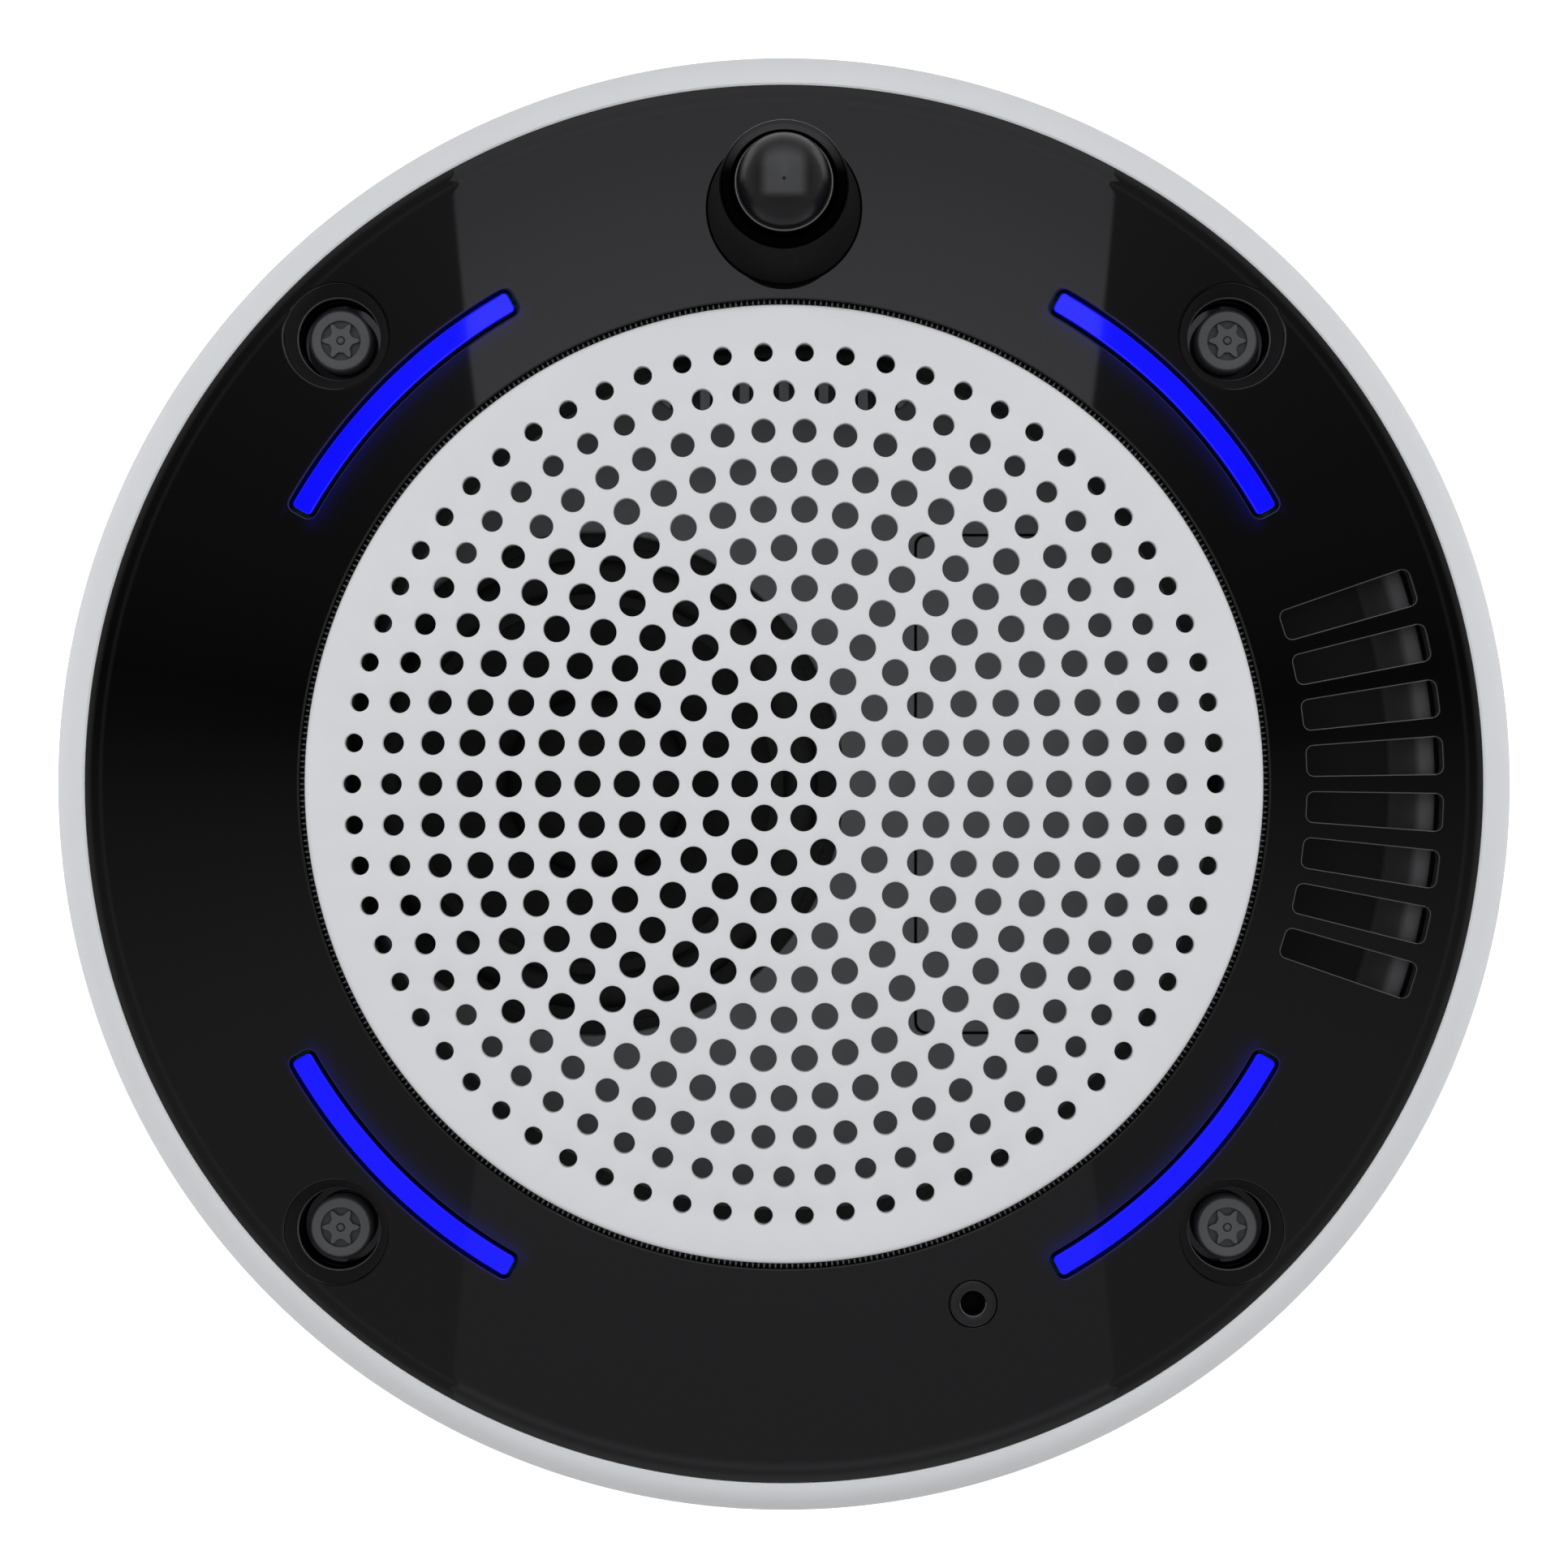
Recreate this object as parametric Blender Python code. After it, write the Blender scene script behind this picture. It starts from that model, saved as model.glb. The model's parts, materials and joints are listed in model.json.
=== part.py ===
"""Round ceiling or wall speaker and sensor unit, as an assembly of separate pieces.

The unit lies on its mounting face. The origin is the centre of that face, +Z points out
through the speaker grille, +Y towards the sensor dome and +X towards the air slots.
Lengths are in millimetres, angles in degrees; MM turns lengths into Blender's metres.
"""

import math

import bmesh
import bpy

MM = 0.001
GAP = 0.3

# Turned pieces: how many flat sides stand for a full circle.
LARGE_SIDES = 48
MEDIUM_SIDES = 24
SMALL_SIDES = 12
SCREW_SIDES = 16

# Housing: a dish with a recessed back, whose front edge is rounded over.
HOUSING_R = 90.0
HOUSING_WIDEST_Z = 43.0
HOUSING_BASE_R = 88.0
HOUSING_LIP_R = 85.2
HOUSING_LIP_Z = 51.2
HOUSING_LIP_STEPS = 5
HOUSING_LIP_ROUND = 0.2
SKIRT_INNER_R = 85.5
BACK_WALL = (2.5, 5.0)
LEDGE_R = 82.5
LEDGE_Z = 48.0
UNDER_LEDGE_Z = 44.0
WALL_TOP_INNER_R = 87.3

# Mounting plate, let into the back of the housing.
PLATE_R = 78.0
PLATE_THICK = 2.2
PLATE_OPENING = (-8.0, -27.0, 34.0, 27.0)
PLATE_OPENING_CORNER = 5.0
PLATE_SLOTS = [(0.0, 41.75, 9.0), (0.0, -41.75, 9.0), (-60.0, 0.0, 9.0), (60.0, 0.0, 9.0)]
PLATE_SLOT_R = 2.3

# Fascia: a shallow cone that falls outwards, with a lip at its rim.
FASCIA_R = 84.9
FASCIA_INNER_R = 58.7
FASCIA_BOTTOM_Z = 49.0
FASCIA_INNER_Z = 52.4
FASCIA_SHOULDER = (82.4, 51.55)
FASCIA_RIM = (84.0, 50.9)

# Fascia screws sit in tapered wells on the diagonals.
SCREW_CIRCLE_R = 76.8
WELL_MOUTH_R = 6.35
WELL_MOUTH_Z = 51.9
WELL_FLOOR_R = 5.1
WELL_TAPER_Z = 49.7
WELL_FLOOR_Z = 46.0
CUP_BOTTOM_Z = 44.0
CUP_R = 6.3
SCREW_HEAD_R = 3.88
SCREW_HEAD_TOP_Z = 48.6
SCREW_SHANK_R = 1.7
SCREW_HOLE_R = 2.2
SCREW_HEAD_ROUND = 0.5
SCREW_END_Z = 33.0
SCREW_TIP_R = 1.1
STAR_TIP_R = 2.45
STAR_WAIST_R = 1.75
STAR_DEPTH = 1.5
STAR_PIN_R = 0.4
POST_BASE_R = 6.2
POST_BASE_TOP_Z = 40.0
POST_SPIGOT_R = 4.0
POST_SPIGOT_TOP_Z = 43.7
PILOT_R = 2.0

# Light bars, centred on the diagonals, each over its own LED strip.
LIGHT_R = (65.9, 68.6)
LIGHT_HALF_ANGLE = 15.5
LIGHT_TOP_Z = 52.0
LIGHT_CORNER = 0.5
LIGHT_GAP = 0.6
LED_STRIP_R = (64.6, 69.2)
LED_STRIP_Z = (46.9, 47.9)
LED_TOP_Z = 48.7
LEDS_PER_STRIP = 5
LED_HALF_WIDTH = 1.1
LED_HALF_ANGLE = 1.3
LED_SPREAD = 0.85

# Speaker grille and the ring that holds it.
GRILLE_R = 58.1
GRILLE_TOP_Z = 53.1
GRILLE_SHEET = 1.0
GRILLE_FLAT_R = 55.4
GRILLE_SKIRT_Z = 49.0
GRILLE_FALL_Z = (52.7, 52.2)
RETAINER_R = (53.2, 56.8)
RETAINER_FLANGE = (59.2, 46.5, 48.7)
RETAINER_Z = (42.6, 51.2)

# Sensor boss and dome near the top edge.
DOME_Y = 69.8
DOME_R = 5.75
DOME_TIP_Z = 69.0
DOME_WALL = 1.0
DOME_SEAT_Z = 58.0
DOME_SPRING_Z = 63.8
DOME_STEPS = 5
BOSS_BASE_R = 9.25
BOSS_BASE_Z = 52.1
BOSS_SHOULDER = (7.7, 62.2)
BOSS_CROWN = (7.4, 62.6)
BOSS_BORE_R = 6.9
BOSS_FLANGE = (10.3, 46.6, 48.7)
FASCIA_BOSS_HOLE_R = 9.6
SENSOR_BOARD_Z = (54.8, 56.4)
SENSOR_BOARD_R = 4.9
MOTION_CAN_R = 4.1
MOTION_CAN_TOP_Z = 61.5
MOTION_CAN_BRIM = (4.5, 0.5)

# Microphone port at the lower right.
PORT_ANGLE = -70.0
PORT_CIRCLE_R = 66.96
PORT_R = 2.92
PORT_HOLE_R = 1.53
PORT_FLANGE = (4.0, 47.2, 48.7)
PORT_TOP_Z = 52.1
PORT_BOARD = (4.6, 45.3, 46.9)

# Air slots: eight sectors about +X, with a ramped baffle behind them.
VENT_ANGLES = [-17.5 + 5.0 * i for i in range(8)]
VENT_R = (63.2, 80.1)
VENT_HALF_ANGLE = 1.6
VENT_CORNER = 0.8
BAFFLE_HALF_ANGLE = 21.5
BAFFLE_R = (61.5, 78.4)
BAFFLE_BOTTOM_Z = 42.6
BAFFLE_FLOOR_Z = 44.4
BAFFLE_RAMP = (73.2, 48.6)
BAFFLE_RAMP_STEPS = 6
BAFFLE_CREST = 0.8

# Chassis plate with the driver opening, the sensor chamber lid and the heat sink pocket.
CHASSIS_R = 83.4
CHASSIS_Z = (40.3, 42.3)
LID_OPENING = (16.3, -31.3, 72.0, 31.3)
LID_NOTCH = (50.2, -2.6, 55.3, 2.6)
LID_CORNER = 1.5
NOTCH_CORNER = 0.6
HEAT_POCKET = (-16.0, 46.7, 16.0, 60.0)
POCKET_CORNER = 3.0
AIR_NOTCH_R = (78.8, 81.0)
AIR_NOTCH_HALF_ANGLE = 19.0

# Driver, about its own axis at DRIVER_X.
DRIVER_X = -24.05
DRIVER_OPENING_R = 31.5
FLANGE_R = 33.5
FLANGE_Z = (37.1, 38.6)
EAR_CIRCLE_R = 34.5
EAR_R = 3.6
BASKET_WINDOW_R = (23.4, 40.0)
BASKET_WINDOW_HALF_ANGLE = 24.0
BASKET_WINDOW_LOW_Z = 30.4
DRIVER_GASKET_R = (30.3, 32.6)
SURROUND_R = (22.6, 30.0)
SURROUND_THICK = 0.6
ROLL_MIDDLE_R = 26.15
ROLL_HALF = 2.15
ROLL_HIGH = 2.2
ROLL_WALL = 0.5
ROLL_STEPS = 4
CONE = [(10.4, 31.0), (23.0, 38.0), (24.0, 38.0), (24.0, 38.6), (22.8, 38.6), (10.4, 31.9)]
DUST_CAP_R = (11.0, 11.6)
DUST_CAP_Z = 32.95
DUST_CAP_RISE = (2.8, 3.4)
DUST_CAP_STEPS = 4
COIL_R = (9.35, 10.05)
COIL_Z = (16.5, 31.6)
SPIDER_INNER_R = 10.4
SPIDER_OUTER = [(21.0, 30.0), (21.0, 30.5)]
SPIDER_Z = (30.25, 30.65)
SPIDER_PITCH = 2.2
SPIDER_WAVES = 5
SPIDER_THICK = 0.4
TOP_PLATE_R = (10.4, 18.0)
TOP_PLATE_Z = (23.5, 26.0)
MAGNET_R = (11.4, 19.0)
YOKE_R = 18.5
YOKE_BORE_R = 2.5
YOKE_Z = (11.4, 13.9)
POLE_R = 9.0
DRIVER_SCREW_HOLE_R = 1.55
DRIVER_SCREW_R = 1.2
DRIVER_SCREW_HEAD = (2.4, 1.8)
DRIVER_SCREW_COVER = 1.1

# Air sensor, under the lid, with a small fan.
AIR_CASE = (22.0, -20.5, 63.0, 20.5)
AIR_CASE_Z = (26.5, 38.9)
FAN_CENTRE = (42.0, 0.0)
FAN_WELL_R = 13.0
FAN_FLOOR_Z = 29.0
FAN_PIN_R = 1.0
FAN_PIN_TOP_Z = 36.0
FAN_HUB_R = 5.0
FAN_BLADES = 7
FAN_BLADE_R = 12.2
FAN_BLADE_SWEEP = 28.0
FAN_BLADE_HALF_THICK = 0.45
FAN_CLEARANCE = 0.4
FAN_TOP_Z = 38.0
FAN_SIDES = 21

# Boards and what they carry.
BOARD_Z = (17.0, 18.6)
MAIN_BOARD = (-2.0, -38.0, 62.0, 38.0)
BOARD_POSTS = [(2.0, -34.0), (2.0, 34.0), (58.0, 34.0), (58.0, -34.0)]
AMPLIFIER_BOARD = (-18.0, 43.0, 18.0, 67.0)
AMPLIFIER_POSTS = [(-14.0, 63.5), (14.0, 63.5), (0.0, 45.5)]
POST_R = 3.4
POST_PILOT_R = 1.6
BOARD_SCREW_R = 1.25
BOARD_SCREW_DEPTH = 6.0
BOARD_SCREW_HEAD = [(2.8, 0.0), (2.8, 1.2), (2.0, 1.8)]
TRANSFORMER = (26.0, 20.0, 40.0, 34.0)
TRANSFORMER_TOP_Z = 25.9
SHIELD_CAN = (28.0, -12.0, 50.0, 10.0)
SHIELD_CAN_TOP_Z = 21.9
CAPACITOR_XY = (10.0, 27.0)
CAPACITOR_R = 4.0
CAPACITOR_TOP_Z = 25.9
HEAT_SINK = (-15.6, 44.2, 15.6, 60.0)
HEAT_SINK_Z = (18.9, 21.2, 38.0)
FIN_PITCH = 5.0
FIN_COUNT = 7
FIN_THICK = 1.2
SOCKET = (6.0, -8.0, 22.0, 8.0)
SOCKET_MOUTH = (8.0, -4.0, 20.0, 3.5)
SOCKET_LATCH = (12.0, 3.0, 16.0, 5.5)
SOCKET_Z = (3.3, 16.7)
SOCKET_DEPTH_Z = 13.5
TERMINALS = (6.0, 13.0, 22.0, 21.0)
TERMINAL_WAYS = 4
TERMINAL_HOLE = 2.6
TERMINAL_DEPTH = 6.0
BUTTON_XY = (14.0, -15.0)
BUTTON_R = 2.6
BUTTON_Z = (2.8, 11.9)
BUTTON_COLLAR = (3.8, 1.2)
BUTTON_STEM_R = 1.6
SWITCH_HALF = 3.0
SWITCH_TIP_R = 1.7
SWITCH_Z = (12.6, 13.4, 16.7)

DIAGONALS = {"upper_right": 45, "upper_left": 135, "lower_left": 225, "lower_right": 315}

# Colour, roughness and metallic value of each material.
FINISHES = {
    "white_plastic": ((0.62, 0.64, 0.66), 0.45, 0.0),
    "white_paint": ((0.68, 0.69, 0.71), 0.5, 0.0),
    "gloss_black": ((0.008, 0.008, 0.009), 0.08, 0.0),
    "satin_black": ((0.012, 0.012, 0.013), 0.35, 0.0),
    "blue_light": ((0.004, 0.004, 1.0), 0.3, 0.0),
    "dark_grey": ((0.05, 0.051, 0.052), 0.55, 0.0),
    "zinc_steel": ((0.55, 0.56, 0.57), 0.35, 1.0),
    "black_screw": ((0.07, 0.073, 0.076), 0.4, 0.6),
    "aluminium": ((0.6, 0.61, 0.62), 0.35, 1.0),
    "ferrite": ((0.03, 0.03, 0.032), 0.6, 0.0),
    "copper": ((0.7, 0.3, 0.15), 0.3, 1.0),
    "black_rubber": ((0.015, 0.015, 0.015), 0.7, 0.0),
    "cone_paper": ((0.01, 0.01, 0.01), 0.85, 0.0),
    "amber_cloth": ((0.45, 0.24, 0.07), 0.9, 0.0),
    "board_green": ((0.02, 0.16, 0.06), 0.45, 0.0),
}


def polar(radius, angle, centre=(0.0, 0.0)):
    """The point at a radius and an angle about a centre."""
    turn = math.radians(angle)
    return centre[0] + radius * math.cos(turn), centre[1] + radius * math.sin(turn)


def circle(radius, centre=(0.0, 0.0), sides=SMALL_SIDES, start=0.0):
    return [polar(radius, start + 360 * i / sides, centre) for i in range(sides)]


def rectangle(box, corner=0.0, steps=3):
    """A rectangle with rounded corners, counter-clockwise, from (low x, low y, high x, high y)."""
    low_x, low_y, high_x, high_y = box
    if not corner:
        return [(low_x, low_y), (high_x, low_y), (high_x, high_y), (low_x, high_y)]
    centres = [
        (high_x - corner, high_y - corner, 0),
        (low_x + corner, high_y - corner, 90),
        (low_x + corner, low_y + corner, 180),
        (high_x - corner, low_y + corner, 270),
    ]
    return [
        polar(corner, start + 90 * i / steps, (x, y))
        for x, y, start in centres
        for i in range(steps + 1)
    ]


def grown(box, by):
    """A rectangle's box, larger by the same amount on every side."""
    return box[0] - by, box[1] - by, box[2] + by, box[3] + by


def arc_bar(radii, middle, half_angle, corner=0.0, steps=10, corner_steps=2):
    """A bar bent along a circle, with square or rounded corners, counter-clockwise."""
    inner, outer = radii
    if not corner:
        sweep = [middle - half_angle + 2 * half_angle * i / steps for i in range(steps + 1)]
        return [polar(outer, a) for a in sweep] + [polar(inner, a) for a in reversed(sweep)]
    outline = []
    for radius, side, turn in ((outer - corner, 1, 0), (inner + corner, -1, 180)):
        inset = math.degrees(corner / radius)
        ends = middle - side * (half_angle - inset), middle + side * (half_angle - inset)
        for i in range(corner_steps + 1):
            spin = ends[0] + turn - 90 + 90 * i / corner_steps
            outline.append(polar(corner, spin, polar(radius, ends[0])))
        for i in range(1, steps):
            outline.append(polar(radius + side * corner, ends[0] + (ends[1] - ends[0]) * i / steps))
        for i in range(corner_steps + 1):
            spin = ends[1] + turn + 90 * i / corner_steps
            outline.append(polar(corner, spin, polar(radius, ends[1])))
    return outline


def slot_outline(centre, length, radius, steps=4):
    """A slot along X with round ends."""
    reach = length / 2 - radius
    ends = ((centre[0] + reach, -90), (centre[0] - reach, 90))
    return [
        polar(radius, start + 180 * i / steps, (x, centre[1]))
        for x, start in ends
        for i in range(steps + 1)
    ]


def star(tip, waist, centre, sides=24):
    """A six-lobe outline, with a tip on +X."""
    middle = (tip + waist) / 2
    swing = (tip - waist) / 2
    return [
        polar(middle + swing * math.cos(math.radians(6 * angle)), angle, centre)
        for angle in (360 * i / sides for i in range(sides))
    ]


def add_turned(mesh, profile, centre=(0.0, 0.0), sides=LARGE_SIDES):
    """Spins (radius, height) points about the vertical axis through a centre.

    A profile that starts and ends on the axis is left open there; any other one is a loop.
    """
    points = [mesh.verts.new((r * MM, 0, z * MM)) for r, z in profile]
    pairs = list(zip(points, points[1:], strict=False))
    if profile[0][0] > 0 or profile[-1][0] > 0:
        pairs.append((points[-1], points[0]))
    edges = [mesh.edges.new(pair) for pair in pairs]
    before = set(mesh.verts) - set(points)
    bmesh.ops.spin(
        mesh,
        geom=points + edges,
        cent=(0, 0, 0),
        axis=(0, 0, 1),
        dvec=(0, 0, 0),
        angle=2 * math.pi,
        steps=sides,
        use_merge=True,
        use_duplicate=False,
    )
    made = [v for v in mesh.verts if v not in before]
    bmesh.ops.remove_doubles(mesh, verts=made, dist=1e-7)
    made = [v for v in mesh.verts if v not in before]
    bmesh.ops.translate(mesh, verts=made, vec=(centre[0] * MM, centre[1] * MM, 0))


def add_extruded(mesh, outline, low, high):
    """Raises a flat outline from one height to another."""
    corners = [mesh.verts.new((x * MM, y * MM, low * MM)) for x, y in outline]
    face = mesh.faces.new(corners)
    raised = bmesh.ops.extrude_face_region(mesh, geom=[face])["geom"]
    tops = [part for part in raised if isinstance(part, bmesh.types.BMVert)]
    bmesh.ops.translate(mesh, verts=tops, vec=(0, 0, (high - low) * MM))


def material(finish):
    """The material of that finish, made on first use."""
    found = bpy.data.materials.get(finish)
    if found:
        return found
    colour, roughness, metallic = FINISHES[finish]
    made = bpy.data.materials.new(finish)
    made.use_nodes = True
    shader = made.node_tree.nodes["Principled BSDF"]
    shader.inputs["Base Color"].default_value = (*colour, 1.0)
    shader.inputs["Roughness"].default_value = roughness
    shader.inputs["Metallic"].default_value = metallic
    return made


def place(name, mesh, finish, axis=(0.0, 0.0, 0.0)):
    """Turns a bmesh into an object whose origin lies at axis, shaded smooth with sharp edges."""
    bmesh.ops.recalc_face_normals(mesh, faces=mesh.faces)
    origin = [value * MM for value in axis]
    bmesh.ops.translate(mesh, verts=mesh.verts, vec=[-value for value in origin])
    data = bpy.data.meshes.new(name)
    mesh.to_mesh(data)
    mesh.free()
    data.shade_smooth()
    data.set_sharp_from_angle(angle=math.radians(35))
    made = bpy.data.objects.new(name, data)
    made.location = origin
    bpy.context.scene.collection.objects.link(made)
    if finish:
        data.materials.append(material(finish))
    return made


def turned(name, profile, finish, centre=(0.0, 0.0), sides=LARGE_SIDES, axis=(0.0, 0.0, 0.0)):
    mesh = bmesh.new()
    add_turned(mesh, profile, centre, sides)
    return place(name, mesh, finish, axis)


def extruded(name, outline, heights, finish):
    mesh = bmesh.new()
    add_extruded(mesh, outline, *heights)
    return place(name, mesh, finish)


def boolean(target, tool_name, operation, shapes):
    """Cuts or joins shapes, each an (adder, arguments) pair, with one hidden tool object."""
    mesh = bmesh.new()
    for adder, arguments in shapes:
        adder(mesh, *arguments)
    tool = place(tool_name, mesh, None)
    tool.hide_render = True
    tool.display_type = "WIRE"
    step = target.modifiers.new(tool_name, "BOOLEAN")
    step.operation = operation
    step.solver = "EXACT"
    step.object = tool


def cut(target, shapes):
    boolean(target, f"{target.name}_cut_{len(target.modifiers)}", "DIFFERENCE", shapes)


def join(target, shapes):
    boolean(target, f"{target.name}_join_{len(target.modifiers)}", "UNION", shapes)


def cylinder(radius, low, high, centre, sides=SMALL_SIDES):
    return add_extruded, (circle(radius, centre, sides), low, high)


def prism(outline, low, high):
    return add_extruded, (outline, low, high)


def diagonal_points(radius):
    return [polar(radius, angle) for angle in DIAGONALS.values()]


def make_mounting_plate():
    plate = extruded(
        "mounting_plate", circle(PLATE_R, sides=LARGE_SIDES), (0, PLATE_THICK), "zinc_steel"
    )
    shapes = [prism(rectangle(PLATE_OPENING, PLATE_OPENING_CORNER), -1, PLATE_THICK + 1)]
    for x, y, length in PLATE_SLOTS:
        shapes.append(prism(slot_outline((x, y), length, PLATE_SLOT_R), -1, PLATE_THICK + 1))
    cut(plate, shapes)


def make_rear_housing():
    """The white dish: skirt, back wall, side wall with a ledge, screw bosses and posts."""
    low, high = BACK_WALL
    profile = [(0, low), (SKIRT_INNER_R, low), (SKIRT_INNER_R, 0), (HOUSING_BASE_R, 0)]
    rise = HOUSING_LIP_Z - HOUSING_WIDEST_Z
    reach = HOUSING_R - HOUSING_LIP_R - HOUSING_LIP_ROUND
    for i in range(HOUSING_LIP_STEPS + 1):
        turn = math.radians(90 * i / HOUSING_LIP_STEPS)
        profile.append(
            (HOUSING_R - reach + reach * math.cos(turn), HOUSING_WIDEST_Z + rise * math.sin(turn))
        )
    profile += [
        (HOUSING_LIP_R, HOUSING_LIP_Z - HOUSING_LIP_ROUND),
        (HOUSING_LIP_R, LEDGE_Z),
        (LEDGE_R, LEDGE_Z),
        (LEDGE_R, UNDER_LEDGE_Z),
        (WALL_TOP_INNER_R, POST_BASE_TOP_Z),
        (SKIRT_INNER_R, high),
        (0, high),
    ]
    housing = turned("rear_housing", profile, "white_plastic")
    shapes = []
    for x, y in diagonal_points(SCREW_CIRCLE_R):
        boss = [
            (0, high - 1),
            (POST_BASE_R, high - 1),
            (POST_BASE_R, POST_BASE_TOP_Z),
            (POST_SPIGOT_R, POST_BASE_TOP_Z),
            (POST_SPIGOT_R, POST_SPIGOT_TOP_Z),
            (0, POST_SPIGOT_TOP_Z),
        ]
        shapes.append((add_turned, (boss, (x, y), SMALL_SIDES)))
    for centre in BOARD_POSTS + AMPLIFIER_POSTS:
        shapes.append(cylinder(POST_R, high - 1, BOARD_Z[0] - GAP, centre))
    join(housing, shapes)
    holes = [
        prism(rectangle(grown(SOCKET, 0.4)), 0, high + 1),
        prism(rectangle(grown(TERMINALS, 0.4)), 0, high + 1),
        cylinder(BUTTON_R + GAP, 0, high + 1, BUTTON_XY),
    ]
    for centre in diagonal_points(SCREW_CIRCLE_R):
        holes.append(cylinder(PILOT_R, SCREW_END_Z - 2, POST_SPIGOT_TOP_Z + 1, centre))
    for centre in BOARD_POSTS:
        holes.append(cylinder(POST_PILOT_R, high + 1, BOARD_Z[0] + 1, centre, 8))
    cut(housing, holes)
    cut(housing, cup_clearances(POST_SPIGOT_TOP_Z + 0.1, LEDGE_Z + 1))


def cup_clearances(low, high):
    """Room for the four screw cups of the fascia, as one ring round each."""
    clearances = []
    for centre in diagonal_points(SCREW_CIRCLE_R):
        clearances.append(cylinder(CUP_R + 0.8, low, high, centre, SCREW_SIDES))
    return clearances


def make_fascia_gasket():
    ring = [
        (LEDGE_R + 0.2, LEDGE_Z + GAP),
        (HOUSING_LIP_R - GAP, LEDGE_Z + GAP),
        (HOUSING_LIP_R - GAP, FASCIA_BOTTOM_Z - GAP),
        (LEDGE_R + 0.2, FASCIA_BOTTOM_Z - GAP),
    ]
    gasket = turned("fascia_gasket", ring, "black_rubber")
    cut(gasket, cup_clearances(LEDGE_Z, FASCIA_BOTTOM_Z))


def make_front_fascia():
    """The black ring with its screw cups, then every hole through it."""
    profile = [
        (FASCIA_INNER_R, FASCIA_BOTTOM_Z),
        (FASCIA_R, FASCIA_BOTTOM_Z),
        (FASCIA_R, FASCIA_RIM[1]),
        FASCIA_RIM,
        FASCIA_SHOULDER,
        (FASCIA_INNER_R, FASCIA_INNER_Z),
    ]
    fascia = turned("front_fascia", profile, "gloss_black")
    cups = []
    holes = []
    for x, y in diagonal_points(SCREW_CIRCLE_R):
        cups.append(cylinder(CUP_R, CUP_BOTTOM_Z, FASCIA_BOTTOM_Z + 1, (x, y), SCREW_SIDES))
        well = [
            (0, CUP_BOTTOM_Z - 1),
            (SCREW_HOLE_R, CUP_BOTTOM_Z - 1),
            (SCREW_HOLE_R, WELL_FLOOR_Z),
            (WELL_FLOOR_R, WELL_FLOOR_Z),
            (WELL_FLOOR_R, WELL_TAPER_Z),
            (WELL_MOUTH_R, WELL_MOUTH_Z),
            (WELL_MOUTH_R, FASCIA_INNER_Z + 1),
            (0, FASCIA_INNER_Z + 1),
        ]
        holes.append((add_turned, (well, (x, y), SCREW_SIDES)))
    low, high = FASCIA_BOTTOM_Z - 1, FASCIA_INNER_Z + 1
    for angle in DIAGONALS.values():
        radii = LIGHT_R[0] - LIGHT_GAP, LIGHT_R[1] + LIGHT_GAP
        beside = math.degrees(LIGHT_GAP / LIGHT_R[0])
        outline = arc_bar(radii, angle, LIGHT_HALF_ANGLE + beside, LIGHT_CORNER + LIGHT_GAP)
        holes.append(prism(outline, low, high))
    for angle in VENT_ANGLES:
        outline = arc_bar(VENT_R, angle, VENT_HALF_ANGLE, VENT_CORNER, 1)
        holes.append(prism(outline, low, high))
    holes.append(cylinder(FASCIA_BOSS_HOLE_R, low, high, (0, DOME_Y), MEDIUM_SIDES))
    port = polar(PORT_CIRCLE_R, PORT_ANGLE)
    holes.append(cylinder(PORT_R + GAP, low, high, port, SMALL_SIDES))
    join(fascia, cups)
    cut(fascia, holes)


def make_fascia_screws():
    """Pan heads with a six-lobe recess round a centre pin."""
    for name, angle in DIAGONALS.items():
        centre = polar(SCREW_CIRCLE_R, angle)
        low = WELL_FLOOR_Z + GAP
        profile = [
            (0, SCREW_END_Z),
            (SCREW_TIP_R, SCREW_END_Z),
            (SCREW_SHANK_R, SCREW_END_Z + 1),
            (SCREW_SHANK_R, low),
            (SCREW_HEAD_R, low),
            (SCREW_HEAD_R, SCREW_HEAD_TOP_Z - SCREW_HEAD_ROUND),
            (SCREW_HEAD_R - SCREW_HEAD_ROUND, SCREW_HEAD_TOP_Z),
            (0, SCREW_HEAD_TOP_Z),
        ]
        screw = turned(f"fascia_screw_{name}", profile, "black_screw", centre, SCREW_SIDES)
        recess = SCREW_HEAD_TOP_Z - STAR_DEPTH
        cut(screw, [prism(star(STAR_TIP_R, STAR_WAIST_R, centre), recess, SCREW_HEAD_TOP_Z + 1)])
        join(screw, [cylinder(STAR_PIN_R, recess - 0.3, SCREW_HEAD_TOP_Z - 0.2, centre, 8)])


def make_lights():
    """Each light bar, and the LED strip that lights it."""
    for name, angle in DIAGONALS.items():
        bar = arc_bar(LIGHT_R, angle, LIGHT_HALF_ANGLE, LIGHT_CORNER)
        extruded(f"light_bar_{name}", bar, (FASCIA_BOTTOM_Z + 0.1, LIGHT_TOP_Z), "blue_light")
        board = arc_bar(LED_STRIP_R, angle, LIGHT_HALF_ANGLE + 1)
        strip = extruded(f"led_strip_{name}", board, LED_STRIP_Z, "board_green")
        middle = sum(LED_STRIP_R) / 2
        leds = []
        for i in range(LEDS_PER_STRIP):
            turn = angle + LIGHT_HALF_ANGLE * (2 * i / (LEDS_PER_STRIP - 1) - 1) * LED_SPREAD
            radii = middle - LED_HALF_WIDTH, middle + LED_HALF_WIDTH
            package = arc_bar(radii, turn, LED_HALF_ANGLE, steps=1)
            leds.append(prism(package, LED_STRIP_Z[1] - 0.3, LED_TOP_Z))
        join(strip, leds)


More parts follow.
